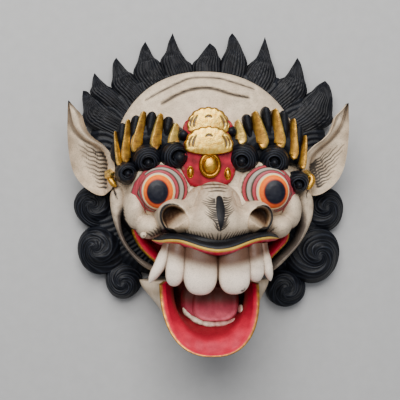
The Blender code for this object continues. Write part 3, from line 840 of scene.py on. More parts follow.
        # The side that shows has more points than the back
        turn = np.concatenate([np.linspace(0, math.pi, 64, False),
                               np.linspace(math.pi, 2 * math.pi, 12, False)])
        across, up = np.cos(turn), np.sin(turn)
        plan = between(left, right, across)
        width = np.linalg.norm(right - left, axis=1)[:, None]
        thin = np.minimum(1, (width / 24) ** 0.75)
        z = self.lock_middle + self.lock_depth * thin * swollen(up, 0.7)
        count = round(width.max() / self.strand_width)
        swing = across + 0.07 * np.sin(6 * t + number) + 0.03 * np.sin(15 * t + 2 * number)
        broad = 0.5 + 0.5 * np.cos(math.pi * count * swing)
        fine = np.cos(3.3 * math.pi * count * swing + 2 * np.sin(8 * t))
        front = np.clip(4 * up, 0, 1)[None, :] * np.clip(width / 8, 0, 1)
        z = z - front * (0.85 * broad**2 + 0.25 * fine)
        rings = np.concatenate([plan, z[:, :, None]], 2)
        surface = Surface.from_rings(rings, None, (*tip, self.lock_middle))
        coat = surface.coat(Paint.HAIR)
        crest = with_poles((1 - broad) ** 4 * (0.6 + 0.4 * fine) * front)
        root = with_poles((1 - t) ** 0.7 * front, 1, 0)
        x, y, _ = surface.xyz
        # Greyish brown towards each lock's root: dust, and painted sheen. Then painted sheen on the ridges of
        # the strands, and painted shade in the grooves
        coat.lay(Paint.HAIR_DUST_AND_SHEEN, np.clip(root * (0.2 + 0.3 * drift(x, y, 12, 101 + number)), 0, 0.6))
        coat.lay(Paint.HAIR_SHEEN, 0.6 * crest * patches(x, y, 14, 121, 0.6, 0.6))
        coat.lay(Paint.INK, 0.5 * with_poles(broad**6 * front))
        finish_piece(f"hair_lock_{number + 1}", surface, coat, HAIR_PAINT)


def whiskers(x: Array, y: Array) -> Array:
    """Cover of the short black strokes above both ends of the upper lip.

    Args:
        x, y: the points.

    Returns:
        The cover.
    """
    cover = np.zeros_like(x)
    near = (np.abs(x) > 40) & (np.abs(x) < 72) & (y > -42) & (y < -18)
    t = steps(6)
    strokes = [(-63.5 + 2.5 * k, -36.5 + 1.35 * k - 0.06 * k * k, -6.5 + 0.8 * k, 4 + 0.6 * k, 1)
               for k in range(7)]
    strokes += [(47, -30.5, 5.5, 7.5, 0.85), (51.5, -31, 5.5, 6, 0.85), (56, -31.5, 5.5, 4.5, 0.75)]
    got = np.zeros(int(near.sum()))
    for foot_x, foot_y, run_x, run_y, wide in strokes:
        line = np.stack([foot_x + run_x * t, foot_y + run_y * t + np.sin(math.pi * t)], 1)
        got = np.maximum(got, inside(to_line(x[near], y[near], line, trailing(6, wide)), 0.3))
    cover[near] = got
    return cover


def coil(centre: Point, eye: Point, radius: float, top: float, hand: int) -> tuple[Surface, Coat]:
    """A rounded knob of hair, coiled towards its eye.

    At a share s of the radius its height is the square root of 1 - 0.7 s^2 of the whole. A broad
    groove and fine strands are cosines of a winding, less the angle, which draws spirals.

    Args:
        centre: its middle at the edge.
        eye: where the spiral ends.
        radius, top: its size, and its height above the back.
        hand: 1 if the spiral runs in anticlockwise, -1 if clockwise.

    Returns:
        The surface and its paint.
    """
    angles = circle(88)
    side, count = 6, 84
    shares = np.concatenate([np.ones(side), np.linspace(1, 0.02, count)])[:, None]
    winding = 2 * math.pi * shares**0.8
    broad = np.cos(1.7 * winding - hand * angles)
    sway = 0.9 * np.sin(2 * angles + radius) + 1.3 * np.sin(3 * winding + angles + radius)
    fine = np.cos(CURL_STRANDS * (winding - hand * angles) + sway)
    fade = np.minimum(1, 3 * shares)
    crown = top * (np.sqrt(1 - 0.7 * shares**2) + 0.05 * broad * fade)
    crown = crown + (0.3 * fine + 0.3 * np.abs(fine)) * fade * (0.75 + 0.25 * np.sin(5 * angles + winding))
    lift = np.linspace(0, 1, side, endpoint=False)[:, None]
    z = np.vstack([lift * crown[side], crown[side:]])
    drawn = 1 - shares
    wobble = radius * (1 + 0.025 * np.sin(3 * angles + radius))
    middle = [foot + (end - foot) * drawn for foot, end in zip(centre, eye)]
    x, y = polar(middle, shares * wobble, angles)
    surface = Surface.from_rings(grid_of(x, y, z), (*centre, 0))
    coat = surface.coat(Paint.HAIR)
    # Painted sheen on the ridges of the strands, and painted shade in the grooves
    coat.lay(Paint.HAIR_SHEEN, 0.6 * with_poles(np.clip(fine, 0, 1) ** 3 * np.ones_like(x)))
    coat.lay(Paint.INK, 0.5 * with_poles(np.clip(-fine, 0, 1) ** 3 * np.ones_like(x)))
    return surface, coat


# ---- face


@dataclass
class Face:
    """The swelling form from the edge of the forehead to the mouth, with the cheeks on it."""

    centre: Point = (-1, 20)
    half_width: float = 103
    above: float = 115
    below: float = 86
    squareness: float = 2.2
    lean: float = 4.5  # how far the top of the forehead stands towards -x
    rim: float = 28
    crown: float = 66
    around: int = 420
    hollow: Hollow = Hollow()
    mouth_centre: Point = (0, 5)
    mouth_radius: float = 88
    # The middle and half-axes of each ellipsoid on the dome
    swellings: tuple[tuple[Place, Place], ...] = (
        ((-80, -10, 52), (11.5, 20, 23)), ((-65, -27, 58), (14.5, 12.5, 27)), ((-55, 6, 40), (33, 33, 24)),
        ((80, -10, 52), (11.5, 20, 23)), ((65, -27, 58), (14.5, 12.5, 27)), ((55, 6, 40), (33, 33, 24)),
        ((-1, -18, 48), (64, 34, 28)))
    upper_wrinkle: Line = ((-69, 103), (-53, 112), (-33, 122), (-20, 127), (6, 127), (28, 121), (45, 116))
    lower_wrinkle: Line = ((-52, 99), (-38, 107), (-24, 113), (-9, 115.5), (4, 114), (20, 109), (38, 106))

    def forms(self, x: Array, y: Array, dome: Array) -> list[Array]:
        """The heights of the forms that make up the face: the dome, and the swellings on it."""
        return [dome, *(swell(x, y, place, size) for place, size in self.swellings)]

    def build(self) -> None:
        """Makes the face: up inside the hollow, round its edge, and over the dome.

        The dome rises by (1 - share^2)^0.6 from the rim to the crown. Two wrinkles are cut across the
        forehead, with a roll of skin on each side of them.
        """
        angles = circle(self.around)
        inner_shares = np.linspace(0.03, 1, 12)[:, None]
        x_in, y_in = self.hollow.edge(angles, inner_shares)
        z_in = self.hollow.ceiling(x_in, y_in, inner_shares) + 0.3
        shares = np.concatenate([[0.97, 1, 1], np.linspace(0.998, 0.006, 100)])[:, None]
        reach = oval_reach(angles, self.half_width, self.above, self.below, self.squareness)
        x = self.centre[0] + shares * (reach * np.cos(angles) - self.lean * np.clip(np.sin(angles), 0, 1))
        y = self.centre[1] + shares * reach * np.sin(angles)
        dome = self.rim + (self.crown - self.rim) * np.clip(1 - shares**2, 0, 1) ** 0.6
        forms = self.forms(x, y, np.broadcast_to(dome, x.shape))
        z = smooth_max(forms, 7)
        upper, lower = (to_line(x, y, curve_through(line, 40), 0)
                        for line in (self.upper_wrinkle, self.lower_wrinkle))
        for gap, deep in ((upper, 2), (lower, 2.8)):
            z += 1.2 * bump(gap - 4, 3) - deep * bump(gap, 1.3)
        z[:3] = np.array([[2], [10], [22]])
        rings = np.stack([np.vstack([x_in, x]), np.vstack([y_in, y]), np.vstack([z_in, z])], -1)
        apex = self.hollow.ceiling(*(np.array([v]) for v in (*self.hollow.centre, 0)))[0] + 0.3
        surface = Surface.from_rings(rings, (*self.hollow.centre, apex))
        bare = np.zeros(len(surface.points), bool)
        bare[: x_in.size] = True
        bare[-2] = True
        finish_piece("face", surface, self._coat(surface), FACE_PAINT, bare=bare)

    def _coat(self, surface: Surface) -> Coat:
        """The face's paint: cream, painted shade in the creases, black beside the mouth, and red painted shade
        in it.

        Args:
            surface: its shape.

        Returns:
            The paint.
        """
        x, y, z = surface.xyz
        coat = surface.coat(Paint.CREAM)
        coat.lay(Paint.CREAM_SHADE, 0.18 + 0.18 * drift(x, y, 45, 3))
        # Painted shade in the creases where the forms meet, below the brow
        creases = np.sort(np.stack(self.forms(x, y, np.zeros_like(x))), axis=0)
        crease = bump(creases[-1] - creases[-2], 2.5) * (y < 22)
        coat.lay(Paint.SHADE_AND_DIRT, 0.35 * np.clip(crease, 0, 1))
        coat.lay(Paint.INK, 0.95 * whiskers(x, y) * rise(z, 52, 62))
        for line, wide in ((self.upper_wrinkle, 1.1), (self.lower_wrinkle, 1.6)):
            path = curve_through(line, 40)
            coat.lay(Paint.INK, 0.95 * inside(to_line(x, y, path, wide * pointed(40, 1) ** 0.35), 0.4))
            coat.lay(Paint.CREAM_SHADE, 0.35 * inside(to_line(x, y + 1.2, path, pointed(40, wide)), 1.5))
        radius = np.hypot(x - self.mouth_centre[0], y - self.mouth_centre[1])
        out = radius - self.mouth_radius
        coat.lay(Paint.INK, inside(-out, 1) * inside(y + 7, 2) * (z < 60))
        # Dark red deep in the mouth, painted as its shade
        coat.lay(Paint.RED_DEEP, inside(out) * inside(y + 24, 1) * (z < 62))
        # Black under each brow: the brow's black ground, and painted shadow under it
        for side in SIDES:
            hood = to_oval(x, y, (side * 61 - 3.5, 50), (44, 34))
            coat.lay(Paint.INK, inside(np.maximum(hood, 36 - y)))
        return coat


@dataclass
class Eyes:
    """Two bulging eyes, each ringed by painted folds that lean towards the nose."""

    middle: Point = (58.3, 7.9)
    around: int = 170
    # For each turn from the middle out: half-width, half-height, lean to the nose, lift and height
    turns: Rows = (
        (0.3, 0.3, 0, 0, 91.4), (6, 6.8, 0, 0, 91), (10.4, 11.8, 0, 0, 89.6),
        (13.4, 15.4, 0.6, 0.2, 87.2), (16.6, 18.2, 1.2, 0.8, 83.5), (17.2, 18.7, 1.3, 0.9, 80.8),
        (19.8, 20.6, 2.2, 1.6, 79.4), (20.4, 21, 2.3, 1.7, 77.4), (23, 22.6, 4.2, 2.3, 76),
        (23.6, 23, 4.3, 2.3, 73.6), (25.8, 24.4, 4.6, 2.6, 72), (26.4, 25, 4.6, 2.6, 70),
        (29.5, 27.6, 4.6, 2.6, 66.5), (33, 31, 4.6, 2.6, 54), (34, 32, 4.6, 2.6, 40))
    bands: tuple[tuple[float, Paint], ...] = (
        (26.5, Paint.INK), (25.8, Paint.CRIMSON), (23.4, Paint.INK), (22.6, Paint.SAGE),
        (20.2, Paint.INK), (19.2, Paint.CRIMSON), (16.8, Paint.CREAM), (15.2, Paint.GOLD_PALE),
        (14.6, Paint.ORANGE), (11.3, Paint.RUST), (10.6, Paint.PUPIL))

    def build(self) -> None:
        """Makes both eyes."""
        for side, name in zip(SIDES, ("eye_left", "eye_right")):
            self._eye(side, name)

    def _eye(self, side: int, name: str) -> None:
        """One eye: rings whose half-width, half-height, lean and height follow the table of turns.

        Args:
            side, name: which eye this is.
        """
        wide, tall, lean, lift, high = (np.array(column) for column in zip(*self.turns))
        rho = np.concatenate([np.linspace(34, 26, 12), np.linspace(25.8, 14, 50),
                              np.linspace(13.7, 0.3, 18)])
        angles = circle(self.around)
        b, shift, up, z = (np.interp(rho, wide, v)[:, None] for v in (tall, lean, lift, high))
        x = side * (self.middle[0] - shift) + rho[:, None] * np.cos(angles)
        y = self.middle[1] + up + b * np.sin(angles)
        surface = Surface.from_rings(grid_of(x, y, z),
                                     None, (side * self.middle[0], self.middle[1], high[0]))
        px, py, _ = surface.xyz
        level = with_poles(np.broadcast_to(rho[:, None], x.shape), 34, 0)
        coat = surface.coat(Paint.CREAM)
        outward = side * px - self.middle[0]
        turn = np.degrees(np.arctan2(py - self.middle[1], outward))
        # The outer bands run over the top, from the nose to the outer corner of the eye
        over = np.clip(inside(-(py - self.middle[1] + 9), 1) + (outward > 0) * inside(-(py + 12), 1), 0, 1)
        jag = 0.7 * np.abs(((turn / 9) % 1) - 0.5)
        for edge, pigment in self.bands:
            cover = inside(level - edge - (jag if edge > 26 else 0), 0.22)
            coat.lay(pigment, cover * (over if edge > 17.5 else 1))
        corner = np.array([(14, 16), (19.5, 8), (23, -2), (15, -12), (11.5, -20)])
        for pigment, widths in ((Paint.INK, (2.6, 3.6, 3.4, 2.6, 0.9)),
                                (Paint.CRIMSON, (2, 2.8, 2.5, 1.8, 0.3))):
            streak = to_line(outward, py - self.middle[1], corner, np.array(widths))
            coat.lay(pigment, inside(streak) * inside(15.2 - level))
        coat.lay(Paint.SLATE, 0.14 * inside(level - 9.5) * patches(px, py, 6, 8))
        coat.lay(Paint.RUST, 0.7 * rise(self.middle[1] - py, -4, 12) * inside(np.abs(level - 12.9) - 1.6))
        # Painted shade on the folds round the eye, and patchy stains at the foot of its mound
        coat.lay(Paint.SHADE_AND_DIRT, 0.32 * rise(level, 15.8, 17.5) * inside(level - 27, 1))
        coat.lay(Paint.SHADE_AND_DIRT, 0.30 * inside(28 - level, 1.5) * patches(px, py, 9, 6, 0.5))
        finish_piece(name, surface, coat, EYE_PAINT)


@dataclass
class MouthSides:
    """The pale bar down each side of the mouth, the gilt-edged red corner inside it, and a bead."""

    # Outer and inner edges of each bar and of each corner, from the top down
    left_bar: Lines = (
        ((-98, 16.5), (-104.5, 8), (-105.3, -2.9), (-102.8, -17.5), (-98.2, -32.1), (-92.2, -45.3),
         (-83.4, -57), (-73.1, -67.3), (-62.9, -73.5)),
        ((-92, 13), (-88.5, 3), (-88, -7.3), (-92.8, -15), (-94, -22), (-92, -35.1),
         (-86.3, -46.8), (-77.5, -57.1), (-68.7, -63.7), (-55.6, -70.4)))
    right_bar: Lines = (
        ((99, 14), (105.3, 6), (107.6, -4.5), (106.3, -17.9), (101, -31.2), (93.2, -44.6),
         (84, -55.7), (73.5, -66.7), (62.7, -76.3)),
        ((92, 11), (88.5, 2), (89, -9), (92, -17.8), (93.2, -24), (91.8, -32.7),
         (86.2, -44.5), (78, -53.4), (69, -60.8), (59.2, -71.1)))
    left_corner: Lines = (
        ((-80, -22.5), (-83.8, -27), (-83.2, -33), (-80.4, -40.5), (-75.2, -49.2), (-67.9, -57.1),
         (-61, -63.3), (-56, -69)),
        ((-76.5, -23), (-72, -28), (-67.5, -36), (-63, -44), (-57, -52), (-50, -60)))
    right_corner: Lines = (
        ((76.5, -24), (79.6, -29.5), (80, -38), (77, -45), (70.2, -52), (62.8, -59.5), (55, -67)),
        ((73.5, -25), (69, -31), (65, -39), (59, -48), (49, -58)))
    bar_middle: float = 33
    bar_tall: float = 17
    corner_middle: float = 38
    corner_tall: float = 22

    def build(self) -> None:
        """Makes the bars, the corners and the bead."""
        for word, bar, corner in (("left", self.left_bar, self.left_corner),
                                  ("right", self.right_bar, self.right_corner)):
            self._bar(f"mouth_bar_{word}", bar)
            self._corner(f"mouth_corner_{word}", corner)
        bead = ball((-71.8, -34.5, 80), (3.6, 3.6, 6))
        x, y, _ = bead.xyz
        coat = bead.coat(Paint.CREAM)
        coat.lay(Paint.INK, 0.8 * inside(to_oval(x, y, (-71.6, -35.2), (0.9, 0.9)), 0.3))
        # Painted shade round the bead's edge
        coat.lay(Paint.SHADE_AND_DIRT, 0.6 * rise(np.hypot(x + 71.8, y + 34.5), 2.6, 3.6))
        finish_piece("mouth_bead", bead, coat, FACE_PAINT)

    def _bar(self, name: str, edges: Lines) -> None:
        """A pale bar between its two edges, with a dark slash near its top and a grey line down it.

        Args:
            name: the piece's name.
            edges: its outer and inner edge.
        """
        outer, inner = (curve_through(edge, 150) for edge in edges)
        t = np.linspace(-1, 1, 150)
        ends = np.sqrt(1 - 0.96 * np.abs(t) ** 10)
        surface = Surface.from_rings(ribbon(outer, inner, self.bar_middle, self.bar_tall * ends, 44))
        x, y, z = surface.xyz
        side = math.copysign(1, outer[0, 0])
        coat = surface.coat(Paint.CREAM)
        coat.lay(Paint.CREAM_SHADE, patches(x, y, 10, 21 + int(side), 0.25, 0.3))
        # Painted shade low down on the bar
        coat.lay(Paint.SHADE_AND_DIRT, 0.5 * rise(40 - z, 0, 14))
        middle = 0.35 * outer + 0.65 * inner
        coat.lay(Paint.SLATE, 0.55 * inside(to_line(x, y, middle[45:140], pointed(95, 0.55)), 0.5))
        # Painted shade along the inner edge, low down
        shaded = rise(9 - to_line(x, y, inner, 0), 0, 7) * rise(-y, -10, 8)
        coat.lay(Paint.FOLD_LINE_AND_SHADE, 0.8 * shaded)
        slash, widths = ((101.8, 12), (99.8, 6.5), (98, 1)), (0.6, 1.3, 0.5)
        if side > 0:
            slash, widths = ((101.5, 11), (98.6, 7), (98, 1.5)), (0.5, 0.7, 0.4)
        coat.lay(Paint.INK, inside(to_line(side * x, y, np.array(slash), widths)))
        finish_piece(name, surface, coat, FACE_PAINT)

    def _corner(self, name: str, edges: Lines) -> None:
        """The red corner of the mouth: it slopes inwards from a gilt edge.

        Args:
            name: the piece's name.
            edges: its outer and inner edge.
        """
        outer, inner = (curve_through(edge, 110) for edge in edges)
        rings = ribbon(outer, inner, self.corner_middle, self.corner_tall, 48, 0.5)
        across = np.cos(circle(48))
        rings[:, :, 2] -= 5 * (1 + across) * (np.sin(circle(48)) > 0)
        surface = Surface.from_rings(rings)
        width = np.linalg.norm(outer - inner, axis=1)[:, None]
        inset = with_poles(0.5 * width * (1 + across))  # how far in from the outer edge
        top = with_poles(np.broadcast_to(np.sin(circle(48)), (110, 48)))
        x, y, _ = surface.xyz
        coat = surface.coat(Paint.INK)
        coat.lay(Paint.RED, inside(0.6 - inset, 0.4) * inside((0.35 - top) * 6))
        # A deeper red, darker further in down the slope: painted shade
        coat.lay(Paint.RED_DEEP, (0.15 + 0.6 * rise(inset, 3, 12)) * inside(1 - inset, 0.5))
        leaf = inside(np.abs(inset - 1.2) - 1.25, 0.35) * inside((0.30 - top) * 6)
        coat.lay(Paint.GOLD_DEEP, leaf, 0.5)
        coat.lay(Paint.GOLD, 0.7 * leaf * patches(x, y, 5, 33, 0.5), 0.6)
        finish_piece(name, surface, coat, RED_PAINT)


# ---- brow


@dataclass
class Brow:
    """A black ridge over each eye, with gold leaves, dark lobes between them, and three coils."""

    middle: float = 55
    half_height: float = 11
    # Top and foot of each gold leaf, and half its width at the foot
    left_leaves: Rows = (
        (-38, 77, -41, 57, 5.8), (-54, 87, -59, 55, 5.8), (-71, 89, -79, 52, 5.8),
        (-87, 81, -89, 41, 4.4), (-100, 69, -95, 37, 2.6))
    right_leaves: Rows = (
        (24, 81, 28, 61, 5.6), (42, 90, 50, 57, 6.6), (63, 93, 68, 57, 5.8),
        (82, 83, 82, 45, 4.4), (94, 66, 91, 35, 3.2))
    # Top and foot of each lobe
    left_lobes: Rows = ((-45, 84, -50, 60), (-62, 89, -68, 57), (-78, 85, -84, 51), (-92, 77, -96, 47))
    right_lobes: Rows = ((33, 87, 39, 60), (53, 95, 59, 57), (72, 91, 75, 52), (88, 76, 87, 46))
    # Each coil's middle, the ball at its inner end, the ball's radius and the coil's radius
    left_coils: Rows = (
        (-41, 44.5, -35.5, 42, 6.2, 15.4), (-68.3, 41.5, -66.8, 36.5, 3.8, 15.4),
        (-88.6, 27.5, -87, 26, 3.2, 11.8))
    right_coils: Rows = (
        (30.5, 43, 26.8, 38.5, 4.2, 16.2), (62.5, 41, 60, 37.5, 4, 15.8), (86, 18.5, 85, 14.8, 3.4, 12))
    strand_width: float = 2.6
    coil_low: float = 44
    coil_top: float = 80
    balls: tuple[Place, ...] = ((-31, 66, 62), (17.5, 70, 62))
    ridge_centre: Point = (58, 39)
    ridge_radius: float = 27
    left_shift: float = -7

    def build(self) -> None:
        """Makes both brows."""
        t = steps(70)
        turn = np.radians(-6 + 178 * t)
        path = grid_of(*polar(self.ridge_centre, self.ridge_radius, turn), self.middle - 6)
        grooves = 0.35 * np.cos(14 * circle(56))[None, :] * np.sin(math.pi * t)[:, None]
        round_end = (1 - np.abs(2 * t - 1) ** 8 + 0.01) ** 0.5
        ridge = Surface.from_rings(sweep(path, 15 * round_end, 14 * round_end, 56, grooves))
        for side, word in zip(SIDES, ("left", "right")):
            surface = ridge if side > 0 else ridge.mirrored(self.left_shift)
            black_piece(f"brow_ridge_{word}", surface, 0.3, 6, 4)
        for word, leaves, lobes, coils, hand in (
            ("left", self.left_leaves, self.left_lobes, self.left_coils, -1),
            ("right", self.right_leaves, self.right_lobes, self.right_coils, 1),
        ):
            for number, leaf in enumerate(leaves, 1):
                self._leaf(f"brow_leaf_{word}_{number}", *leaf)
            for number, lobe in enumerate(lobes, 1):
                self._lobe(f"brow_lobe_{word}_{number}", *lobe)
            for number, (x, y, end_x, end_y, end_radius, radius) in enumerate(coils, 1):
                self._coil(f"{word}_{number}", (x, y), (end_x, end_y), end_radius, radius, hand)
        for place, word in zip(self.balls, ("left", "right")):
            black_piece(f"brow_ball_{word}", ball(place, (6.2, 5.6, 8)), 0.2, 5, 9)

    def _coil(self, name: str, middle: Point, end: Point, end_radius: float,
              radius: float, hand: int) -> None:
        """A curl of the brow: it winds into a deep hole, and ends in a ball on the hole's lower side.

        Args:
            name: which curl this is.
            middle, radius: where it stands, and its size.
            end, end_radius: the ball's middle and size.
            hand: the way it winds.
        """
        angles = circle(110)
        shares = np.concatenate([np.ones(5), np.linspace(1, 0.012, 48)])[:, None]
        reach = shares * radius * (1 + 0.025 * np.sin(3 * angles + radius))
        x, y = polar([a + 0.6 * (b - a) * (1 - shares) for a, b in zip(middle, end)], reach, angles)
        dx, dy = x - end[0], y - end[1]
        turn, gap = np.arctan2(dy, dx), np.hypot(dx, dy) - end_radius
        strand = np.cos(2 * math.pi * gap / self.strand_width - hand * turn)
        z = self.coil_low + (self.coil_top - self.coil_low) * np.sqrt(1 - 0.75 * shares**4) - 2.5
        ridge = np.abs(np.cos(math.pi * gap / self.strand_width - 0.5 * hand * turn))
        z = z + (0.5 * ridge + 0.2 * strand) * (gap > 0)
        # The hole is a crescent round the upper side of the ball
        upper = rise(np.sin(turn + 0.3 * hand), -0.4, 0.4)
        hole = inside(np.abs(gap - 0.6) - (0.3 + upper), 0.6)
        z = z - (1 + 4 * upper) * hole * (shares < 0.95)
        z[:5] = self.coil_low + np.linspace(0, 0.8, 5)[:, None] * (z[5] - self.coil_low)
        surface = Surface.from_rings(grid_of(x, y, z), (*middle, self.coil_low))
        coat = surface.coat(Paint.HAIR)
        # Painted sheen on the strands, and black in the hole as painted shade
        coat.lay(Paint.HAIR_SHEEN, 0.5 * with_poles(np.clip(strand, 0, 1) ** 3 * (1 - hole)))
        coat.lay(Paint.INK, 0.9 * with_poles(hole))
        finish_piece(f"brow_coil_{name}", surface, coat, HAIR_PAINT)
        place = (*end, self.coil_top - 2.5 - 0.8 * end_radius)
        bulb = ball(place, (end_radius, end_radius, end_radius + 2), 36, 22)
        black_piece(f"brow_bulb_{name}", bulb, 0.3, 4, 5)

    def _leaf(self, name: str, top_x: float, top_y: float, foot_x: float, foot_y: float,
              half_width: float) -> None:
        """A gold leaf: a rounded box section, widest near its foot, black down its sides.

        Args:
            name: the piece's name.
            top_x, top_y, foot_x, foot_y: its ends.
            half_width: half its width at the foot.
        """
        t = steps(48)
        shape = np.interp(t, (0, 0.04, 0.12, 0.25, 0.5, 0.75, 0.94, 1),
                          (0.5, 0.9, 1, 0.98, 0.84, 0.66, 0.5, 0.32))
        # The edge on the nose's side runs straight, and the other one bulges at the foot
        nose = -math.copysign(half_width, foot_x)
        middle = foot_x + (top_x - foot_x) * t + nose * (1 - 0.5 * t - shape)
        path = grid_of(middle, foot_y - 2 + (top_y - foot_y + 2) * t, self.middle)
        rings = sweep(path, (half_width + 0.8) * shape, self.half_height * np.clip(shape * 3, 0.2, 1), 44,
                      boxy=0.32)
        # A ridge line on the nose's side parts the broad face from a narrow bevel
        section = np.broadcast_to(circle(44), (48, 44))
        towards_nose = -math.copysign(1, foot_x) * swollen(np.cos(section), 0.5)
        rings[:, :, 2] -= 2.6 * np.abs(towards_nose - 0.45) * (np.sin(section) > 0) - 0.5
        surface = Surface.from_rings(rings)
        x, y, _ = surface.xyz
        coat = surface.coat(Paint.HAIR)
        face = with_poles(np.sin(section), -1, -1)
        gold = inside(-(face - 0.08) * 8)
        bevel = with_poles(-towards_nose)
        coat.lay(Paint.GOLD, gold, 0.85)
        coat.lay(Paint.GOLD_DEEP, gold * patches(x, y, 7, 13, 0.65, 0.5) * rise(np.abs(x + 7), 26, 52), 0.7)
        coat.lay(Paint.GOLD_PALE, 0.85 * gold * rise(-np.abs(x + 7), -46, -28), 0.75)
        # A painted highlight down the bevel on the nose's side
        coat.lay(Paint.GOLD_PALE, 0.9 * gold * rise(-bevel, 0.4, 0.6), 0.75)
        coat.lay(Paint.BROWN, gold * (0.12 + 0.5 * inside(0.62 - drift(x, y, 1.6, 15), 0.1)), 0.4)
        finish_piece(name, surface, coat, GOLD_PAINT)

    def _lobe(self, name: str, top_x: float, top_y: float, foot_x: float, foot_y: float) -> None:
        """A dark lobe: narrow at the foot and rounded like a club at the top.

        Args:
            name: the piece's name.
            top_x, top_y, foot_x, foot_y: its ends.
        """
        t = steps(36)
        path = grid_of(foot_x + (top_x - foot_x) * t, foot_y - 3 + (top_y - foot_y + 4) * t, self.middle)
        shape = np.interp(t, (0, 0.1, 0.4, 0.72, 0.88, 0.96, 1), (0.25, 0.36, 0.6, 0.98, 0.92, 0.66, 0.2))
        rings = sweep(path, 5.4 * shape, self.half_height * np.clip(shape * 1.4, 0.2, 1), 32, boxy=0.8)
        black_piece(name, Surface.from_rings(rings), 0.25, 4, 19)


@dataclass
class Fan:
    """A gold fan with a scalloped edge and engraved strokes."""

    foot: float
    radius: float
    above: float
    top: float
    arc_y: float
    stroke_x: Point
    stroke_y: float


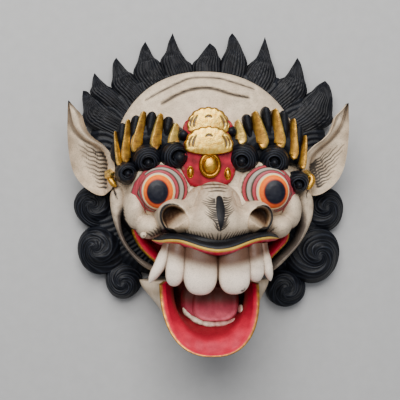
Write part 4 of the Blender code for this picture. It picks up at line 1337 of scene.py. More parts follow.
@dataclass
class Crown:
    """The ornament in the middle of the brow: a red panel, two gold fans and three gilt beads."""

    middle: float = -6
    panel_y: float = 36
    panel_size: Point = (28, 25)
    panel_top: float = 70
    fans: tuple[Fan, Fan] = (
        Fan(72, 21.5, 21.5, 71, 83, (-19, 8), 79), Fan(52.5, 24.2, 21, 77, 63.5, (-20.5, 9.5), 58.5))
    scallops: int = 18
    # Each bead's middle and half-axes
    beads: Rows = (
        (1.2, 35, 71, 11.4, 13.5, 6.5), (-18.5, 28, 69, 3.8, 6.8, 4.5), (19.2, 26.5, 69, 3.8, 6.8, 4.5))

    def build(self) -> None:
        """Makes the panel, the red ground behind the fans, the fans and the beads."""
        self._red("crown_panel", (self.middle, self.panel_y), self.panel_size, self.panel_size[1], 2.6,
                  self.panel_top, 4)
        self._red("crown_ground", (self.middle, 72), (25.5, 13), 10, 2.6, 68, 3)
        for number, fan in enumerate(self.fans):
            self._fan(f"crown_fan_{number + 1}", fan)
        for number, (dx, y, z, wide, tall, high) in enumerate(self.beads):
            self._bead(f"crown_bead_{number + 1}", (self.middle + dx, y, z), (wide, tall, high))

    def _cushion(self, middle: Point, outline: Array, low: float, top: float,
                 rounding: float, shape: Array) -> Surface:
        """A cushion of the given outline: straight sides, a rounded edge, and shape added on top.

        Args:
            middle, outline: where it stands, and its reach in each direction.
            low, top, rounding: the heights of its foot and top, and the radius of its edge.
            shape: added to the top, shaped (levels, around).

        Returns:
            The surface.
        """
        angles = circle(outline.shape[-1])
        count = shape.shape[0]
        shares = np.concatenate([np.ones(3), np.linspace(1, 0.02, count)])[:, None]
        edge = np.clip((1 - shares) * outline.mean() / rounding, 0, 1)
        z = top - rounding * (1 - np.sqrt(1 - (1 - edge) ** 2))
        z[:3] = np.array([[low], [0.5 * (low + top)], [top - 1.4 * rounding]])
        z = np.broadcast_to(z, (count + 3, len(angles))).copy()
        z[3:] += shape
        x, y = polar(middle, shares * outline, angles)
        return Surface.from_rings(grid_of(x, y, z), (*middle, low))

    def _red(self, name: str, middle: Point, size: Point, below: float,
             squareness: float, top: float, rounding: float) -> None:
        """A red cushion.

        Args:
            name: the piece's name.
            middle, size, below, squareness: its outline.
            top, rounding: its height and the radius of its edge.
        """
        angles = circle(100)
        outline = oval_reach(angles, size[0], size[1], below, squareness)
        surface = self._cushion(middle, outline, 48, top, rounding, np.zeros((30, 100)))
        x, y, _ = surface.xyz
        coat = surface.coat(Paint.RED)
        coat.lay(Paint.RED_DEEP, patches(x, y, 9, 17, 0.72, 0.3))
        coat.lay(Paint.CREAM_SHADE, 0.5 * inside(-(np.abs(x - middle[0]) - size[0] + 2) - 1, 1.5)
                 * patches(x, y, 5, 23))
        finish_piece(name, surface, coat, RED_PAINT)

    def _fan(self, name: str, fan: Fan) -> None:
        """A fan: a superellipse with its foot low down, scalloped, and a little domed.

        The scallops are the absolute value of a sine of the angle.

        Args:
            name, fan: which fan this is.
        """
        angles = circle(220)
        outline = oval_reach(angles, fan.radius, fan.above, 0.3 * fan.radius, 2.2)
        scallop = np.abs(np.sin(0.5 * self.scallops * angles)) * (np.sin(angles) > -0.2)
        outline = outline * (1 + 0.045 * scallop)
        shares = np.linspace(1, 0.02, 50)[:, None]
        lift = 2 * (1 - shares**2) * np.ones_like(angles)
        x, y = polar((self.middle, fan.foot), shares * outline, angles)
        cuts = self._strokes(fan, x, y)
        surface = self._cushion((self.middle, fan.foot), outline, 48, fan.top - 2, 2.5,
                                lift - 0.7 * inside(cuts, 0.5))
        px, py, _ = surface.xyz
        level = with_poles(np.vstack([np.full((3, 220), 1.1), shares * np.ones_like(angles)]), 1.2, 0)
        coat = surface.coat(Paint.GOLD_PALE, 0.8)
        coat.lay(Paint.GOLD, patches(px, py, 6, 41, 0.55, 0.45), 0.8)
        coat.lay(Paint.GOLD_DEEP, 0.95 * inside((0.93 - level) * fan.radius, 0.7), 0.8)
        coat.lay(Paint.GOLD_DEEP, 0.35 * np.clip(drift(px, py, 2.5, 43) - 0.2, 0, 1), 0.9)
        coat.lay(Paint.BROWN, 0.9 * inside(self._strokes(fan, px, py)), 0)
        coat.lay(Paint.RED, 0.8 * inside((1.02 - level) * fan.radius, 0.4), 0)
        finish_piece(name, surface, coat, GOLD_PAINT)

    def _strokes(self, fan: Fan, x: Array, y: Array) -> Array:
        """Distance to the fan's engraving: a small arc at the top and two curved strokes a side.

        Args:
            fan: the fan.
            x, y: the points.

        Returns:
            The distance.
        """
        t = np.linspace(-1, 1, 9)
        arc = np.stack([self.middle + 3.4 * t, fan.arc_y + 1.6 * (1 - t**2)], 1)
        strokes = [to_line(x, y, arc, pointed(9, 1.15))]
        for side, middle in zip(SIDES, fan.stroke_x):
            for out, length, bow, wide in ((0, 5.8, 1.4, 1.15), (3.6, 5.2, 1.6, 1)):
                line = np.stack([middle + side * (out + bow * (1 - t**2) + 1.7 * t),
                                 fan.stroke_y - length * t], 1)
                strokes.append(to_line(x, y, line, pointed(9, wide)))
        return np.minimum.reduce(strokes)

    def _bead(self, name: str, place: Place, size: Place) -> None:
        """A gilt bead: an oval boss within a bezel, which a ring-shaped groove sets off.

        Args:
            name, place, size: the piece's name, middle and half-axes.
        """
        angles = circle(64)
        shares = np.concatenate([[1, 1], np.linspace(0.995, 0.02, 36)])[:, None]
        boss = np.sqrt(np.clip(1 - (shares / 0.62) ** 2, 0, 1))
        z = place[2] + size[2] * (0.45 * np.sqrt(np.clip(1 - shares**6, 0, 1)) + 0.55 * boss)
        z -= 0.12 * size[2] * bump(shares - 0.70, 0.07)
        z[0] = place[2] - 8
        x = place[0] + shares * size[0] * np.cos(angles)
        y = place[1] + shares * size[1] * np.sin(angles)
        surface = Surface.from_rings(grid_of(x, y, z), (place[0], place[1], place[2] - 8))
        level = with_poles(np.broadcast_to(shares, x.shape), 1, 0)
        px, py, _ = surface.xyz
        coat = surface.coat(Paint.GOLD_DEEP, 0.9)
        coat.lay(Paint.GOLD, inside((level - 0.64) * size[0]) + 0.25 * patches(px, py, 2, 3), 1)
        finish_piece(name, surface, coat, GOLD_PAINT)


# ---- snout


@dataclass
class Snout:
    """The broad snout: one form from the bridge to the lip, with the nostrils hollowed into it."""

    middle: Point = (-1, -15)
    half_width: float = 62
    above: float = 42
    below: float = 31
    low: float = 40
    forms: tuple[tuple[Place, Place], ...] = (
        ((-0.5, -15, 68), (22, 33, 51)), ((-0.5, -24, 72), (36, 22, 46)),
        ((-1, -25, 72), (52, 14, 33)),
        ((-42.5, -16.5, 78), (18, 18, 29)), ((41.5, -17.5, 78), (16, 17, 29)),
        ((-2, -3, 60), (30, 18, 24)), ((-2, 2, 46), (33, 18, 32)))
    # Each nostril's middle, and its half-axes along and across its lean to the middle of the lip
    nostrils: Rows = ((-41.2, -18.8, 15, 11.8), (40.6, -19.6, 14.3, 10.8))
    nostril_floor: float = 80
    nostril_ramp: float = 38  # how much higher the floor is at the end towards the lip
    stripe: Line = ((0.2, 1), (0.4, -5), (0.5, -12), (0.4, -20), (0.2, -30))
    stripe_widths: tuple[float, ...] = (3.3, 4.4, 4.1, 2.6, 0.3)
    # The dark roll of lip that rises at the foot of each nostril
    hooks: Lines = (
        ((-66, -43), (-61, -37.4), (-54.6, -32.2), (-48.2, -29.6), (-43.4, -31.2), (-39.5, -35),
         (-30.4, -37.5)),
        ((62.5, -40.5), (57.5, -34.5), (52, -30.6), (46.5, -28.6), (42, -30.4), (38, -34), (29, -36.5)))
    bridge_lines: tuple[Place, ...] = ((-17, 11, 14.5), (-13, 11.5, 11.2), (-9.5, 8.5, 8))

    def height(self, x: Array, y: Array) -> Array:
        """The snout's surface before the nostrils: its forms, smoothly joined."""
        return smooth_max([swell(x, y, place, size) for place, size in self.forms], 8.5)

    def build(self) -> None:
        """Makes the snout from rings about its middle."""
        angles = circle(380)
        shares = np.concatenate([[1], np.linspace(1, 0.006, 112)])[:, None]
        reach = oval_reach(angles, self.half_width, self.above, self.below, 2.2)
        x, y = polar(self.middle, shares * reach, angles)
        z = np.maximum(self.height(x, y), self.low)
        z -= 1.2 * self._lines(x, y)
        for nostril, side in zip(self.nostrils, SIDES):
            level, inwards = self._in_nostril(x, y, nostril, side)
            z += 3 * bump(level - 1.17, 0.13) * rise(-inwards, -0.7, 0.4) * (z > 78)
            floor = self.nostril_floor + self.nostril_ramp * rise(inwards, -0.7, 1.05)
            z -= np.clip(z - floor, 0, 40) * rise(1.05 - level, 0, 0.22)
        z[0] = self.low - 12
        surface = Surface.from_rings(grid_of(x, y, z), (*self.middle, self.low - 12))
        finish_piece("snout", surface, self._coat(surface), FACE_PAINT)

    @staticmethod
    def _in_nostril(x: Array, y: Array, nostril: tuple[float, ...], side: int) -> tuple[Array, Array]:
        """Where points lie in a nostril.

        Args:
            x, y: the points.
            nostril: its middle and half-axes.
            side: which one it is.

        Returns:
            The oval's level, 1 at its edge, and how far towards the lip's middle they lie.
        """
        dx, dy = x - nostril[0], y - nostril[1]
        along = (-0.66 * side * dx - 0.75 * dy) / nostril[2]
        return np.hypot(along, (0.75 * dx - 0.66 * side * dy) / nostril[3]), along

    def _lines(self, x: Array, y: Array) -> Array:
        """Cover of the three wrinkles across the bridge.

        Args:
            x, y: the points.

        Returns:
            The cover.
        """
        cover = np.zeros_like(x)
        for start, end, height in self.bridge_lines:
            t = steps(9)
            line = np.stack([start + (end - start) * t, height + np.sin(math.pi * t)], 1)
            cover = np.maximum(cover, inside(to_line(x, y, line, pointed(9, 0.85))))
        return cover

    def _coat(self, surface: Surface) -> Coat:
        """Its paint: cream, a black stripe with feathered ticks, ochre nostrils with black rims.

        Args:
            surface: its shape.

        Returns:
            The paint.
        """
        x, y, z = surface.xyz
        coat = surface.coat(Paint.CREAM)
        coat.lay(Paint.CREAM_SHADE, patches(x, y, 22, 51, 0.18, 0.2))
        # Painted shade where the snout runs down low
        coat.lay(Paint.SHADE_AND_DIRT, 0.5 * rise(86 - z, 0, 22) * (y < 20))
        coat.lay(Paint.OCHRE, 0.55 * rise(y, -2, 12) * np.clip(drift(x, y, 4, 53) + 0.1, 0, 1))
        for nostril, side in zip(self.nostrils, SIDES):
            level, inwards = self._in_nostril(x, y, nostril, side)
            wide = nostril[2]
            mottle = 0.12 * drift(x, y, 2.5, 52)
            coat.lay(Paint.OCHRE, (0.8 + mottle) * rise(1.03 - level, 0, 0.12))
            # Painted shade: dark brown and black at each nostril's deep upper end
            coat.lay(Paint.BROWN, (0.88 + mottle) * rise(0.98 - level, 0, 0.15) * rise(-inwards, -0.45, 0.2))
            coat.lay(Paint.INK, 0.5 * rise(0.9 - level, 0, 0.2) * rise(-inwards, 0, 0.7))
            coat.lay(Paint.CREAM, (0.5 + mottle) * rise(1 - level, 0, 0.15) * rise(inwards, -0.2, 0.35))
            outwards = side * (x - nostril[0]) / nostril[2]
            line = inside(np.abs((level - 1.09) * wide) - 0.7 - 0.7 * rise(outwards, 0, 0.8), 0.35)
            coat.lay(Paint.INK, line * rise(outwards, -0.35, -0.1))
            hook = curve_through(self.hooks[max(side, 0)], 24)
            coat.lay(Paint.INK, 0.95 * inside(to_line(x, y, hook, pointed(24, 2.7)), 0.5))
            shade = inside(np.abs((level - 1.32) * wide) - 1, 1)
            coat.lay(Paint.SLATE, 0.5 * rise(outwards, 0.2, 0.8) * shade)
        smudge = to_oval(x, y, (0.3, -13), (8, 19))
        coat.lay(Paint.SLATE, 0.38 * inside(smudge, 4))
        stripe = curve_through(self.stripe, 30)
        widths = np.interp(steps(30), steps(5), self.stripe_widths)
        coat.lay(Paint.INK, inside(to_line(x, y, stripe, widths)))
        coat.lay(Paint.INK, 0.9 * np.maximum(self._feathers(x, y), whiskers(x, y)))
        coat.lay(Paint.INK, 0.85 * self._lines(x, y))
        return coat

    def _feathers(self, x: Array, y: Array) -> Array:
        """Cover of the short strokes beside the stripe and above the lip.

        Args:
            x, y: the points.

        Returns:
            The cover.
        """
        cover = np.zeros_like(x)
        near = (np.abs(x) < 66) & (y < 8) & (y > -52)
        nx, ny = x[near], y[near]
        got = np.zeros_like(nx)
        t = steps(5)
        for step in range(15):
            for side in SIDES:
                vary = math.sin(5.3 * step + 2 * side)
                down = step / 14
                foot_x, foot_y = 4.6 - 3.4 * down**3, 1.5 - 30.5 * down + 0.8 * vary
                long = 5.5 + 4 * math.sin(math.pi * min(1, down + 0.15)) + 2.2 * vary
                drop = 2 + 5 * down - vary
                line = np.stack([side * (foot_x + long * (1 - t)),
                                 foot_y + drop * (1 - t) - 0.9 * np.sin(math.pi * t)], 1)
                got = np.maximum(got, inside(to_line(nx, ny, line, trailing(5, 0.9)[::-1]), 0.3))
        for place in np.arange(-31, 27, 2.9):
            vary = math.sin(2.1 * place)
            slant = -np.sign(place) * (1 + 0.5 * vary) if abs(place) > 3 else 0
            foot = -39 + 0.0062 * place**2
            line = np.stack([place - slant * 2.6 * (1 - t), foot + (6.5 + 1.6 * vary) * (1 - t)], 1)
            got = np.maximum(got, inside(to_line(nx, ny, line, trailing(5, 0.85)[::-1]), 0.3))
        cover[near] = got
        return cover


@dataclass
class UpperLip:
    """The upper lip: a long roll, black above, with a gold line and a red underside."""

    # Points along its middle line and its half-height at each
    line: tuple[Place, ...] = (
        (-64, -39.5, 1.5), (-56, -39.5, 4.6), (-48, -38.2, 5.9), (-38, -38.5, 5.6), (-28.7, -41, 5.6),
        (-19, -44.2, 5.6), (-9.5, -46.4, 5.8), (-1, -47, 5.9), (9.5, -45.6, 5.9), (19, -42.8, 5.6),
        (29, -39.4, 5.5), (39.8, -37, 5.4), (51.3, -36.2, 5), (60, -37.5, 3.4), (64.5, -38.5, 1.3))
    front: float = 124
    set_back: float = 38
    reach: float = 62
    depth: float = 8

    def build(self) -> None:
        """Makes the lip, and the gum behind it that the teeth stand in."""
        points = curve_through(self.line, 150)
        z = self.front - self.set_back * ((points[:, 0] + 1) / self.reach) ** 2 - 4.5
        path = np.column_stack([points[:, :2], z])
        t = np.linspace(-1, 1, 150)
        ends = np.sqrt(1 - 0.97 * t**20)
        wide = points[:, 2] * ends
        rings = sweep(path, wide, self.depth * ends * np.clip(wide / 5, 0.35, 1), 56)
        surface = Surface.from_rings(rings)
        x, y, _ = surface.xyz
        section = np.tile(circle(56), (150, 1))
        across, front = with_poles(np.cos(section)), with_poles(np.sin(section))
        coat = surface.coat(Paint.INK)
        # A grey band along the black: painted sheen
        coat.lay(Paint.SLATE, 0.35 * inside(np.abs(across - 0.35) * 6 - 0.6, 1) * (front > 0))
        coat.lay(Paint.RED, inside((across + 0.2) * 6))
        coat.lay(Paint.TONGUE, 0.4 * inside((across + 0.4) * 6) * patches(x, y, 8, 61, 0.5))
        coat.lay(Paint.GOLD, inside(np.abs(across + 0.2) * 6 - 1.25) * (front > -0.3), 0.5)
        coat.lay(Paint.GOLD_PALE, 0.85 * inside(np.abs(across + 0.1) * 6 - 0.55) * (front > -0.3), 0.3)
        finish_piece("upper_lip", surface, coat, RED_PAINT)
        gum = ball((-2, -41, 76), (52, 17, 36), 64, 32)
        x, y, _ = gum.xyz
        coat = gum.coat(Paint.RED_DEEP)
        coat.lay(Paint.BROWN, patches(x, y, 12, 62, 0.5, 0.3))
        # Black along the gum's top, above the lip's lower edge: painted shade behind the lip
        coat.lay(Paint.INK, rise(y + 47 - 11 * (x / 50) ** 2, -1, 1))
        finish_piece("gum", gum, coat, RED_PAINT)


@dataclass
class UpperTeeth:
    """Two broad incisors, a tooth beside each of them and a fang at each end."""

    # Each tooth's name, x of its root, x and y of its lower end, half-width and bluntness
    teeth: tuple[tuple[str, float, float, float, float, float], ...] = (
        ("incisor_left", -17.5, -18.6, -91.5, 17.6, 0.42), ("incisor_right", 14, 15.2, -91, 16.8, 0.42),
        ("side_tooth_left", -39, -44, -83.5, 10.5, 0.46), ("side_tooth_right", 34, 37, -79.5, 9.5, 0.46),
        ("fang_left", -48, -67, -81, 6.5, 0.8), ("fang_right", 43.5, 52, -79.5, 6, 0.8))
    root_y: float = -42
    depth: float = 9
    arc_front: float = 113
    arc_depth: float = 20
    arc_half: float = 60

    def build(self) -> None:
        """Makes all six teeth."""
        for tooth in self.teeth:
            self._tooth(*tooth)

    def _tooth(self, name: str, root_x: float, end_x: float, end_y: float, half_width: float,
               blunt: float) -> None:
        """One tooth: an oval section from the gum to its rounded end.

        Its width is the half-width times (1.02 - t^4) to the power of its bluntness.

        Args:
            name: the piece's name.
            root_x, end_x, end_y: where its root and its lower end are.
            half_width, blunt: its size, and how blunt it ends.
        """
        t = 1 - (1 - steps(60)) ** 1.7
        arc = self.arc_front - self.arc_depth * (0.5 * (root_x + end_x) / self.arc_half) ** 2
        path = grid_of(root_x + (end_x - root_x) * t**1.3, self.root_y + (end_y - self.root_y) * t,
                       arc + 3 * np.sin(math.pi * t))
        rounding = np.clip(1.0005 - t**4.6, 0, 1) ** blunt
        wide = half_width * rounding * (0.85 + 0.2 * t)
        section = circle(44)
        relief = 0.25 * drift(t[:, None] * 30, 3 * np.cos(section)[None, :], 9, len(name)) * rounding[:, None]
        surface = Surface.from_rings(sweep(path, wide, self.depth * rounding, 44, relief))
        x, y, _ = surface.xyz
        coat = surface.coat(Paint.TOOTH)
        side = with_poles(np.broadcast_to(np.abs(np.cos(section)), (60, 44)), 1, 1)
        coat.lay(Paint.CREAM_SHADE, 0.5 * rise(side, 0.8, 1))
        # How far above the lip's lower edge, which is arched, each point lies
        above = y + 58.5 - 13 * (x / 50) ** 2
        # Painted shadow of the lip: darker, then brown, towards the lip's edge; painted shade in brown at the
        # sides near the root
        coat.lay(Paint.CREAM_SHADE, 0.5 * rise(above, -22, -6))
        coat.lay(Paint.SHADE_AND_DIRT, 0.6 * rise(above + 0.8 * drift(x, y, 5, 71), -15, -3) ** 1.5)
        coat.lay(Paint.BROWN, 0.95 * rise(above, -9, 0))
        coat.lay(Paint.BROWN, 0.7 * rise(side, 0.93, 1) * rise(y, -80, -60))
        if name == "incisor_right":
            chip = np.minimum(to_oval(x, y, (22, -87), (2, 1.1)), to_oval(x, y, (24, -85.5), (0.9, 1.6)))
            coat.lay(Paint.INK, 0.9 * inside(chip))
        finish_piece(name, surface, coat, TOOTH_PAINT)


# ---- lower jaw


@dataclass
class LowerJaw:
    """The lower jaw: a scoop whose rim rises towards the chin, with the tongue and small teeth in it."""

    middle_x: float = -6
    chin_y: float = -150
    hinge_y: float = -84
    back_y: float = -96
    half_width: float = 58
    rim_half_width: float = 50
    flare: float = 13
    back_squareness: float = 2
    rim_squareness: float = 2.4
    square_rise: float = 4
    chin_curve: float = 1.3
    rim_low: float = 76
    rim_high: float = 119
    # The inside's setback at the sides, as a share of that at the chin, for the slope and below it
    slope_share: float = 2
    floor_share: float = 0.9
    slope_inset: float = 8
    wall: float = 3
    # Down the inside: the share of the rim's height and the setback at each turn
    inside_turns: Line = (
        (1, 3), (0.97, 4.4), (0.94, 6), (0.907, 7.6), (0.87, 8.4), (0.8, 8.8), (0.7, 9.2), (0.62, 10.5),
        (0.575, 13), (0.55, 19), (0.53, 33))
    arc_count: int = 180
    edge_count: int = 16
    outer_count: int = 36
    tenon_half: float = 30
    tenon_top: float = -61
    # The tongue's two layers: the middle and half-axes of each
    tongue: tuple[Place, Place] = ((-0.3, -103.5, 72), (24.5, 19.5, 13))
    tongue_edge: tuple[Place, Place] = ((-6.5, -100.5, 68), (28, 19.5, 12))
    teeth_line: Line = (
        (-32, -107), (-28.8, -113), (-22, -118.8), (-12, -123.2), (-2, -124.4), (8, -123.9),
        (17, -121.8), (24, -117.6))
    teeth_count: int = 5
    molar: Point = (26, -110)

    def ring(self, share: float, inset: float) -> Array:
        """One D-shaped loop, from the back at share 0 to the rim at share 1.

        The curved part is half a superellipse, which grows squarer towards the rim. Its height is
        the share of the rim's, which rises evenly from the hinge to the chin.

        Args:
            share: the share of the rim's height.
            inset: how far the loop is set in from the outside.

        Returns:
            The loop.
        """
        angles = math.pi + math.pi * steps(self.arc_count)
        half_width = self.half_width + (self.rim_half_width - self.half_width) * share
        half_width += (6.75 * self.flare * share * (1 - share) ** 2
                       - self.slope_share * min(inset, self.slope_inset))
        half_width -= self.floor_share * max(inset - self.slope_inset, 0)
        low_y = self.back_y + (self.chin_y - self.back_y) * share**self.chin_curve + inset
        square = self.back_squareness + (self.rim_squareness - self.back_squareness) * share**self.square_rise
        reach = oval_reach(angles, half_width, 1, self.hinge_y - low_y, square)
        x, y = polar((self.middle_x, self.hinge_y), reach, angles)
        climb = (self.hinge_y - y) / (self.hinge_y - self.chin_y)
        z = share * (self.rim_low + (self.rim_high - self.rim_low) * climb)
        back = np.linspace(x[-1], x[0], self.edge_count + 2)[1:-1]
        level = np.full(self.edge_count, min(share, self.inside_turns[-1][0]) * self.rim_low)
        hinge = np.full(self.edge_count, self.hinge_y)
        return grid_of(np.append(x, back), np.append(y, hinge), np.append(z, level))

    def build(self) -> None:
        """Makes the scoop, the tenon that enters the head, the tongue and the teeth."""
        outer = [(share, 0) for share in 1 - (1 - steps(self.outer_count)) ** 1.2]
        lip = [(1, self.wall * k) for k in (0.15, 0.35, 0.6, 0.85, 1)]
        shares, insets = np.array(self.inside_turns).T
        turns = np.linspace(0, len(shares) - 1, 70)[1:]
        stops = np.arange(len(shares))
        inner = list(zip(np.interp(turns, stops, shares), np.interp(turns, stops, insets)))
        rings = np.stack([self.ring(share, inset) for share, inset in outer + lip + inner])
        bulge = np.array([0] * self.outer_count + [0.45, 0.7, 0.7, 0.45, 0] + [0] * (len(inner)))
        rings[:, : self.arc_count, 2] += bulge[:, None]
        surface = Surface.from_rings(rings, (self.middle_x, 0.5 * (self.hinge_y + self.back_y), 0),
                                     (self.middle_x, self.hinge_y - 6, shares[-1] * self.rim_low))
        around = self.arc_count + self.edge_count
        share = with_poles(np.repeat([s for s, _ in outer + lip + inner], around), 0, 0.5)
        inward = with_poles(np.repeat([i for _, i in outer + lip + inner], around), 0, 33)
        # How many rings past the outer side each vertex lies
        number = with_poles(np.repeat(np.arange(len(rings)) - self.outer_count, around), -99, 999)
        x, y, z = surface.xyz
        coat = surface.coat(Paint.CREAM)
        coat.lay(Paint.CREAM_SHADE, patches(x, y, 14, 81, 0.3, 0.3))
        coat.lay(Paint.RED, rise(number, -0.5, 1.5))
        coat.lay(Paint.TONGUE, 0.3 * rise(number, 2, 5) * inside(inward - 7, 1)
                 * rise(-y, 118, 142) * patches(x, y, 15, 82, 0.7, 0.5))
        # Painted shade: darker red, then brown, further in, on the upper inside wall and towards the back
        coat.lay(Paint.RED_DEEP, 0.9 * rise(inward, 6.6, 8.8))
        coat.lay(Paint.BROWN, 0.5 * rise(inward, 8.6, 12))
        coat.lay(Paint.RED_DEEP, 0.75 * rise(number, 4, 7) * rise(y, -132, -100))
        coat.lay(Paint.BROWN, 0.55 * rise(number, 14, 26) * rise(y, -122, -98))
        rim = inside(np.abs(number + 0.5) - 1.6, 0.7)
        coat.lay(Paint.GOLD_DEEP, 0.9 * rim * (share > 0.9), 0.8)
        coat.lay(Paint.GOLD, 0.6 * rim * patches(x, y, 5, 83, 0.5), 0.9)
        bare = z < 1
        finish_piece("jaw_scoop", surface, coat, RED_PAINT, Block.JAW, bare)
        self._tenon()
        self._tongue()
        self._teeth()

    def _teeth(self) -> None:
        """The row of lower teeth that shows under the tongue, scalloped tooth by tooth, and a molar."""
        path = curve_through(self.teeth_line, 120)
        t = steps(120)
        scallop = np.abs(np.sin(math.pi * self.teeth_count * t)) ** 0.5
        ends = np.sqrt(np.clip(1 - np.abs(2 * t - 1) ** 10 + 0.02, 0, 1))
        path = np.column_stack([path, 71 + 5.5 * rise(path[:, 0], -30, -14)])
        rings = sweep(path, (1.9 + scallop) * ends, (4.6 + 1.2 * scallop) * ends, 24, boxy=0.85)
        molar = ball((*self.molar, 74), (3.2, 4.8, 9))
        for name, surface in (("lower_teeth", Surface.from_rings(rings)), ("lower_molar", molar)):
            x, y, z = surface.xyz
            coat = surface.coat(Paint.TOOTH)
            coat.lay(Paint.CREAM_SHADE, patches(x, y, 6, 88, 0.6, 0.3))
            coat.lay(Paint.TONGUE_DEEP, 0.55 * rise(x, -16, 4) * (x < 25))
            # Painted shade low down on the teeth
            coat.lay(Paint.SHADE_AND_DIRT, 0.6 * rise(72 - z, 0, 6))
            finish_piece(name, surface, coat, TOOTH_PAINT, Block.JAW)

    def _tenon(self) -> None:
        """The bare wooden tenon behind the hinge."""
        t = steps(24)
        path = grid_of(self.middle_x, self.hinge_y - 6 + (self.tenon_top - self.hinge_y + 6) * t, 20)
        half_width, half_height = np.full(24, self.tenon_half), np.full(24, 20)
        surface = Surface.from_rings(sweep(path, half_width, half_height, 48, boxy=0.16))
        coat = surface.coat(Paint.WOOD)
        bare = np.ones(len(surface.points), bool)
        finish_piece("jaw_tenon", surface, coat, RED_PAINT, Block.JAW, bare)

    def _tongue(self) -> None:
        """The tongue: a low pink mound with a darker layer beside it and a groove down its middle."""
        for name, (place, size), pigment in (("tongue", self.tongue, Paint.TONGUE),
                                             ("tongue_edge", self.tongue_edge, Paint.TONGUE_DEEP)):
            surface = ball(place, size, 88, 48)
            x, y, z = surface.xyz
            above = z > place[2]
            u, v = (x - place[0]) / size[0], (y - place[1]) / size[1]
            rim = np.hypot(u, v)
            fuller = rim / np.maximum((np.abs(u) ** 2.8 + np.abs(v) ** 2.8) ** (1 / 2.8), 1e-6)
            out = np.where(rim > 1e-3, fuller, 1)[:, None]
            surface.points[:, :2] = np.array(place[:2]) + np.column_stack([u, v]) * np.array(size[:2]) * out
            surface.points[:, 2] -= above * (1.6 * bump(x - place[0], 4) - 2 * bump(rim - 0.86, 0.09))
            coat = surface.coat(pigment)
            coat.lay(Paint.TONGUE_DEEP, patches(x, y, 9, 91, 0.15, 0.3))
            # Painted shadow of the upper teeth: darker towards the tongue's back
            coat.lay(Paint.TONGUE_DEEP, 0.8 * rise(y, -117, -108))
            coat.lay(Paint.RED_DEEP, 0.8 * rise(y, -112, -100))
            coat.lay(Paint.BROWN, 0.8 * rise(y, -106, -95))
            coat.lay(Paint.RED_DEEP, 0.8 * rise(rim, 0.9, 0.99) * above + 0.8 * (1 - above))
            finish_piece(name, surface, coat, TONGUE_PAINT, Block.JAW)


SHIFT = carver_shift()


# ---- ears


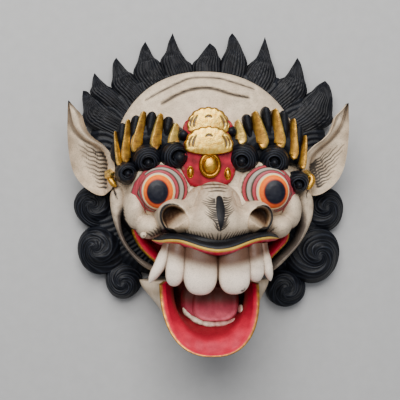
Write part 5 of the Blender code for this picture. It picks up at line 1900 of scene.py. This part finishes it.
@dataclass
class Ear:
    """A pointed ear: a leaf with a rolled rim, a hollow painted with strokes, and a gilt stud."""

    # The right ear's outer and inner edges, from its foot to its tip
    outer_edge: Line = (
        (101, 8), (106, 4.8), (114, 6), (124, 12.3), (132, 21), (137.5, 32), (140.5, 46),
        (141.8, 60), (142.2, 73), (142.1, 84), (141.8, 92), (141.5, 97), (141, 100.8))
    inner_edge: Line = (
        (101, 8), (97, 12.5), (94.5, 21), (94, 31), (95.5, 40), (99.5, 48.5), (106.5, 56.5),
        (115, 62.5), (121.5, 69.5), (125, 78), (127.5, 86), (133, 92), (140.6, 100.6))
    back: float = 30
    lift: float = 14
    thickness: float = 7
    rim: float = 5
    hollow: float = 9
    left_shift: float = -6
    stud: Place = (99, 26, 34)
    stud_radius: float = 6.6
    # The gilt drop that hangs from each stud
    left_drop: tuple[Place, ...] = ((-106, 27, 45), (-104, 20, 47), (-99, 13.5, 48))
    right_drop: tuple[Place, ...] = ((103, 27.5, 45), (104.5, 20, 47), (99.5, 11, 48))
    strokes: int = 10
    # Where the painted strokes start thin, and where they end thick, on each ear
    left_rails: Lines = (
        ((-132, 58), (-137.7, 57), (-135, 48.5), (-131.9, 39.5), (-127.4, 29.8), (-122.2, 23), (-119, 14.5)),
        ((-112.4, 47.5), (-109.6, 42), (-108.8, 36), (-109.6, 30), (-110.4, 24), (-110, 18), (-109.8, 12.5)))
    right_rails: Lines = (
        ((119.7, 50.5), (128.6, 55.4), (139, 59.1), (134.6, 45.1), (131, 33.9), (126.9, 24.5), (122.1, 18.7)),
        ((105.8, 37.5), (105.6, 33.8), (106.4, 30), (109, 26.4), (111.3, 21.7), (112, 17.6), (113.1, 14.5)))
    # The edge of the ear's hollow, from the tip down, where the rolled band beside it starts
    left_fold: Line = (
        (-147, 98.5), (-144.5, 86), (-142.6, 77), (-137.5, 68.5), (-130, 61.5), (-119, 55.5),
        (-112, 48.5), (-108.8, 40), (-108, 30), (-108.5, 20), (-107, 11))
    right_fold: Line = (
        (139.5, 98.5), (136.8, 88), (134.8, 80.5), (131.5, 73.5), (126.7, 66.6), (119.8, 59.5), (113.1, 53.8),
        (107, 46.9), (104.3, 39.9), (103.4, 30.7), (104.5, 20), (106, 11))

    def build(self) -> None:
        """Makes both ears and their studs."""
        for word, rails, fold, block, side in (
            ("right", self.right_rails, self.right_fold, Block.EAR_RIGHT, 1),
            ("left", self.left_rails, self.left_fold, Block.EAR_LEFT, -1),
        ):
            line = curve_through(fold, 60)
            leaf, on_front, beyond = self._leaf(line * (side, 1) + (min(side, 0) * -self.left_shift, 0))
            leaf = leaf if side > 0 else leaf.mirrored(self.left_shift)
            coat = self._coat(leaf, on_front, beyond, rails)
            finish_piece(f"ear_{word}_leaf", leaf, coat, FACE_PAINT, block)
            self._stud(f"ear_{word}_stud", block, side)

    def _leaf(self, fold: Array) -> tuple[Surface, Array, Array]:
        """The right ear's leaf: sections from its inner to its outer edge, front and back.

        The front is hollowed by a squared sine along it times 1 - across^2, and its rim rises by
        across^4. Beyond the fold a band stands up, rolled like a Gaussian bump.

        Args:
            fold: the edge of the hollow.

        Returns:
            The surface, which vertices are on its front, and how far beyond the fold they are.
        """
        stations, half = 130, 60
        outer, inner = curve_through(self.outer_edge, stations), curve_through(self.inner_edge, stations)
        t = steps(stations)
        across = np.cos(np.linspace(0, math.pi, half))[::-1]
        plan = between(inner, outer, across)
        hollow = self.hollow * np.sin(math.pi * np.minimum(1, t + 0.15)) ** 2
        front = (self.back + self.lift * t + self.thickness)[:, None] + self.rim * across**4
        front = front - hollow[:, None] * (1 - across**2)
        beyond = np.interp(plan[:, :, 1], fold[::-1, 1], fold[::-1, 0]) - plan[:, :, 0]
        fade = (np.clip(t / 0.12, 0, 1) * np.clip((1 - t) / 0.12, 0, 1))[:, None]
        band = 2.8 * rise(beyond, -1, 1) + 1.6 * bump(beyond - 3.5, 2.6)
        front = front + fade * (band - 2.6 * bump(beyond + 3.2, 3))
        upper = np.concatenate([plan, front[:, :, None]], 2)
        lower = np.concatenate([plan, (front - fade * band - self.thickness)[:, :, None]], 2)[:, ::-1]
        surface = Surface.from_rings(np.concatenate([upper, lower], 1))
        beyond = with_poles(np.concatenate([beyond, beyond[:, ::-1]], 1))
        on_front = with_poles(np.broadcast_to(np.arange(2 * half) < half, (stations, 2 * half)))
        return surface, on_front, beyond

    def _coat(self, leaf: Surface, on_front: Array, beyond: Array, rails: Lines) -> Coat:
        """The ear's paint: cream, with painted shade in the hollow's depth and high on its rolled band, and
        wavy strokes over the hollow.

        Args:
            leaf: the ear's shape.
            on_front: which of its vertices are on the front.
            beyond: how far beyond the hollow's edge they are.
            rails: where the strokes start thin and end thick.

        Returns:
            The paint.
        """
        x, y, _ = leaf.xyz
        side = math.copysign(1, x.mean())
        coat = leaf.coat(Paint.CREAM)
        coat.lay(Paint.CREAM_SHADE, patches(x, y, 18, 95, 0.22, 0.3))
        # Painted shade: ochre high on the far face of the rolled band, and brown in the hollow beside the fold
        coat.lay(Paint.OCHRE, 0.45 * on_front * rise(beyond, 5.5, 8.5) * rise(y, 58, 72))
        coat.lay(Paint.SHADE_AND_DIRT, 0.4 * on_front * rise(beyond, -7, -0.6) * (beyond < 0.4) * rise(y, 8, 20))
        coat.lay(Paint.FOLD_LINE_AND_SHADE, 0.5 * on_front * inside(np.abs(beyond + 0.3) - 0.35, 0.5))
        coat.lay(Paint.INK, 0.8 * rise(y, 97.5, 100))
        thin, thick = (curve_through(rail, self.strokes) for rail in rails)
        s = steps(14)
        front = np.flatnonzero(on_front > 0.5)
        cover = np.zeros(len(front))
        for start, end in zip(thin, thick):
            run = end - start
            length = float(np.hypot(*run))
            normal = np.array([-run[1], run[0]]) / length
            wave = 0.8 * np.sin(2 * math.pi * (length / 11) * (1 - s) + 0.5) * np.sqrt(s)
            wave += 0.05 * length * np.sin(math.pi * s) * side
            stroke = start + s[:, None] * run + wave[:, None] * normal
            gap = to_line(x[front], y[front], stroke, 0.25 + 1.15 * s)
            cover = np.maximum(cover, inside(gap, 0.35))
        strokes = np.zeros(len(x))
        strokes[front] = cover
        coat.lay(Paint.INK, 0.93 * strokes)
        return coat

    def _stud(self, name: str, block: Block, side: int) -> None:
        """The gilt stud at the ear's foot: a faceted cone on a short drum.

        Args:
            name, block, side: which stud this is.
        """
        x, y, z = self.stud
        angles = circle(48)
        facet = np.cos(math.pi / 6) / np.cos((angles + math.pi / 6) % (math.pi / 3) - math.pi / 6)
        levels = np.array([(1, 0), (1, 3), (1, 7), (0.97, 8.2), (0.9, 9.6), (0.7, 13.2), (0.5, 17),
                           (0.35, 20), (0.22, 22.2), (0.1, 23.4), (0.03, 23.9)])
        turns = np.linspace(0, 10, 40)
        shares, rises = (np.interp(turns, np.arange(11), column)[:, None] for column in levels.T)
        px, py = polar((x, y), self.stud_radius * shares * facet, angles)
        surface = Surface.from_rings(grid_of(px, py, z + rises))
        surface = surface if side > 0 else surface.mirrored(self.left_shift)
        # The drop below the stud thins out towards both of its ends
        thick = np.sqrt(1 - 0.9 * np.abs(np.linspace(-1, 1, 60)) ** 3)
        path = curve_through(self.left_drop if side < 0 else self.right_drop, 60)
        drop = Surface.from_rings(sweep(path, 3.3 * thick, 2.6 * thick, 24))
        for part, shape, pigment in ((name, surface, Paint.GOLD_PALE), (f"{name[:-4]}drop", drop, Paint.GOLD)):
            coat = shape.coat(pigment, 0.85)
            coat.lay(Paint.GOLD_DEEP, patches(*shape.xyz[:2], 4, 97, 0.15, 0.5), 0.8)
            finish_piece(part, shape, coat, GOLD_PAINT, block)


# ---- studio


@dataclass
class Studio:
    """The pale floor, the light from above the mask's head, and the camera that looks down."""

    distance: float = 1000
    azimuth: float = 5
    lens: float = 83.16
    aim: Point = (-8.7, 0)

    def build(self) -> None:
        """Makes the floor, the lights, the world and the camera."""
        mesh = bpy.data.meshes.new("floor")
        half, low = 30, -0.0002
        mesh.from_pydata([(-half, -half, low), (half, -half, low), (half, half, low), (-half, half, low)], [],
                         [(0, 1, 2, 3)])
        material = bpy.data.materials.new("pale_floor")
        material.use_nodes = True
        tree = material.node_tree
        noise = node(tree, "TexNoise", "Fac", Vector=node(tree, "TexCoord", "Object"), Scale=90)
        grey = node(tree, "MapRange", "Result", Value=noise, To_Min=0.385, To_Max=0.445)
        plug(tree, tree.nodes["Principled BSDF"], Roughness=0.8, Base_Color=grey)
        mesh.materials.append(material)
        floor = put("floor", mesh)
        self._lamp("key", (-0.25, 1, 1.5), 1.5, 66, (1, 0.985, 0.96))
        self._lamp("fill", (0.5, -0.6, 1.8), 1.6, 5, (0.95, 0.97, 1))
        world = bpy.data.worlds.new("room_light")
        world.use_nodes = True
        plug(world.node_tree, world.node_tree.nodes["Background"], Color=(0.9, 0.93, 1, 1), Strength=0.28)
        bpy.context.scene.world = world
        self._camera()

    def _lamp(self, name: str, place: Place, size: float, power: float, colour: Place) -> None:
        """A square soft light, in metres and watts, that points at the mask.

        Args:
            name, place, size, power, colour: the light.
        """
        light = bpy.data.lights.new(name, "AREA")
        light.size, light.energy, light.color = size, power, colour
        lamp = put(name, light)
        lamp.location = place
        lamp.rotation_euler = (Vector((0, 0, 0.05)) - Vector(place)).to_track_quat("-Z", "Y").to_euler()

    def _camera(self) -> None:
        """The camera: above the mask, a little to its -x side, with the top of the head upwards."""
        lean = math.radians(self.azimuth)
        forward = Vector((math.sin(lean), 0, -math.cos(lean)))
        across = Vector((math.cos(lean), 0, math.sin(lean)))
        up = Vector((0, 1, 0))
        aim = Vector((self.aim[0] + SHIFT[0], self.aim[1] + SHIFT[1], 0)) * MM
        view = bpy.data.cameras.new("camera")
        view.lens, view.sensor_width, view.clip_end = self.lens, 36, 20
        camera = put("camera", view)
        camera.matrix_world = Matrix.Translation(aim - forward * self.distance * MM) @ Matrix(
            (across, up, -forward)
        ).transposed().to_4x4()
        bpy.context.scene.camera = camera


def main() -> None:
    """Builds the mask and the studio."""
    logging.basicConfig(level=logging.INFO, format="%(name)s: %(message)s")
    for part in (Hair(), Face(), MouthSides(), Eyes(), Brow(), Crown(), Snout(), UpperLip(), UpperTeeth(),
                 LowerJaw(), Ear(), Studio()):
        part.build()


if __name__ == "__main__":
    main()
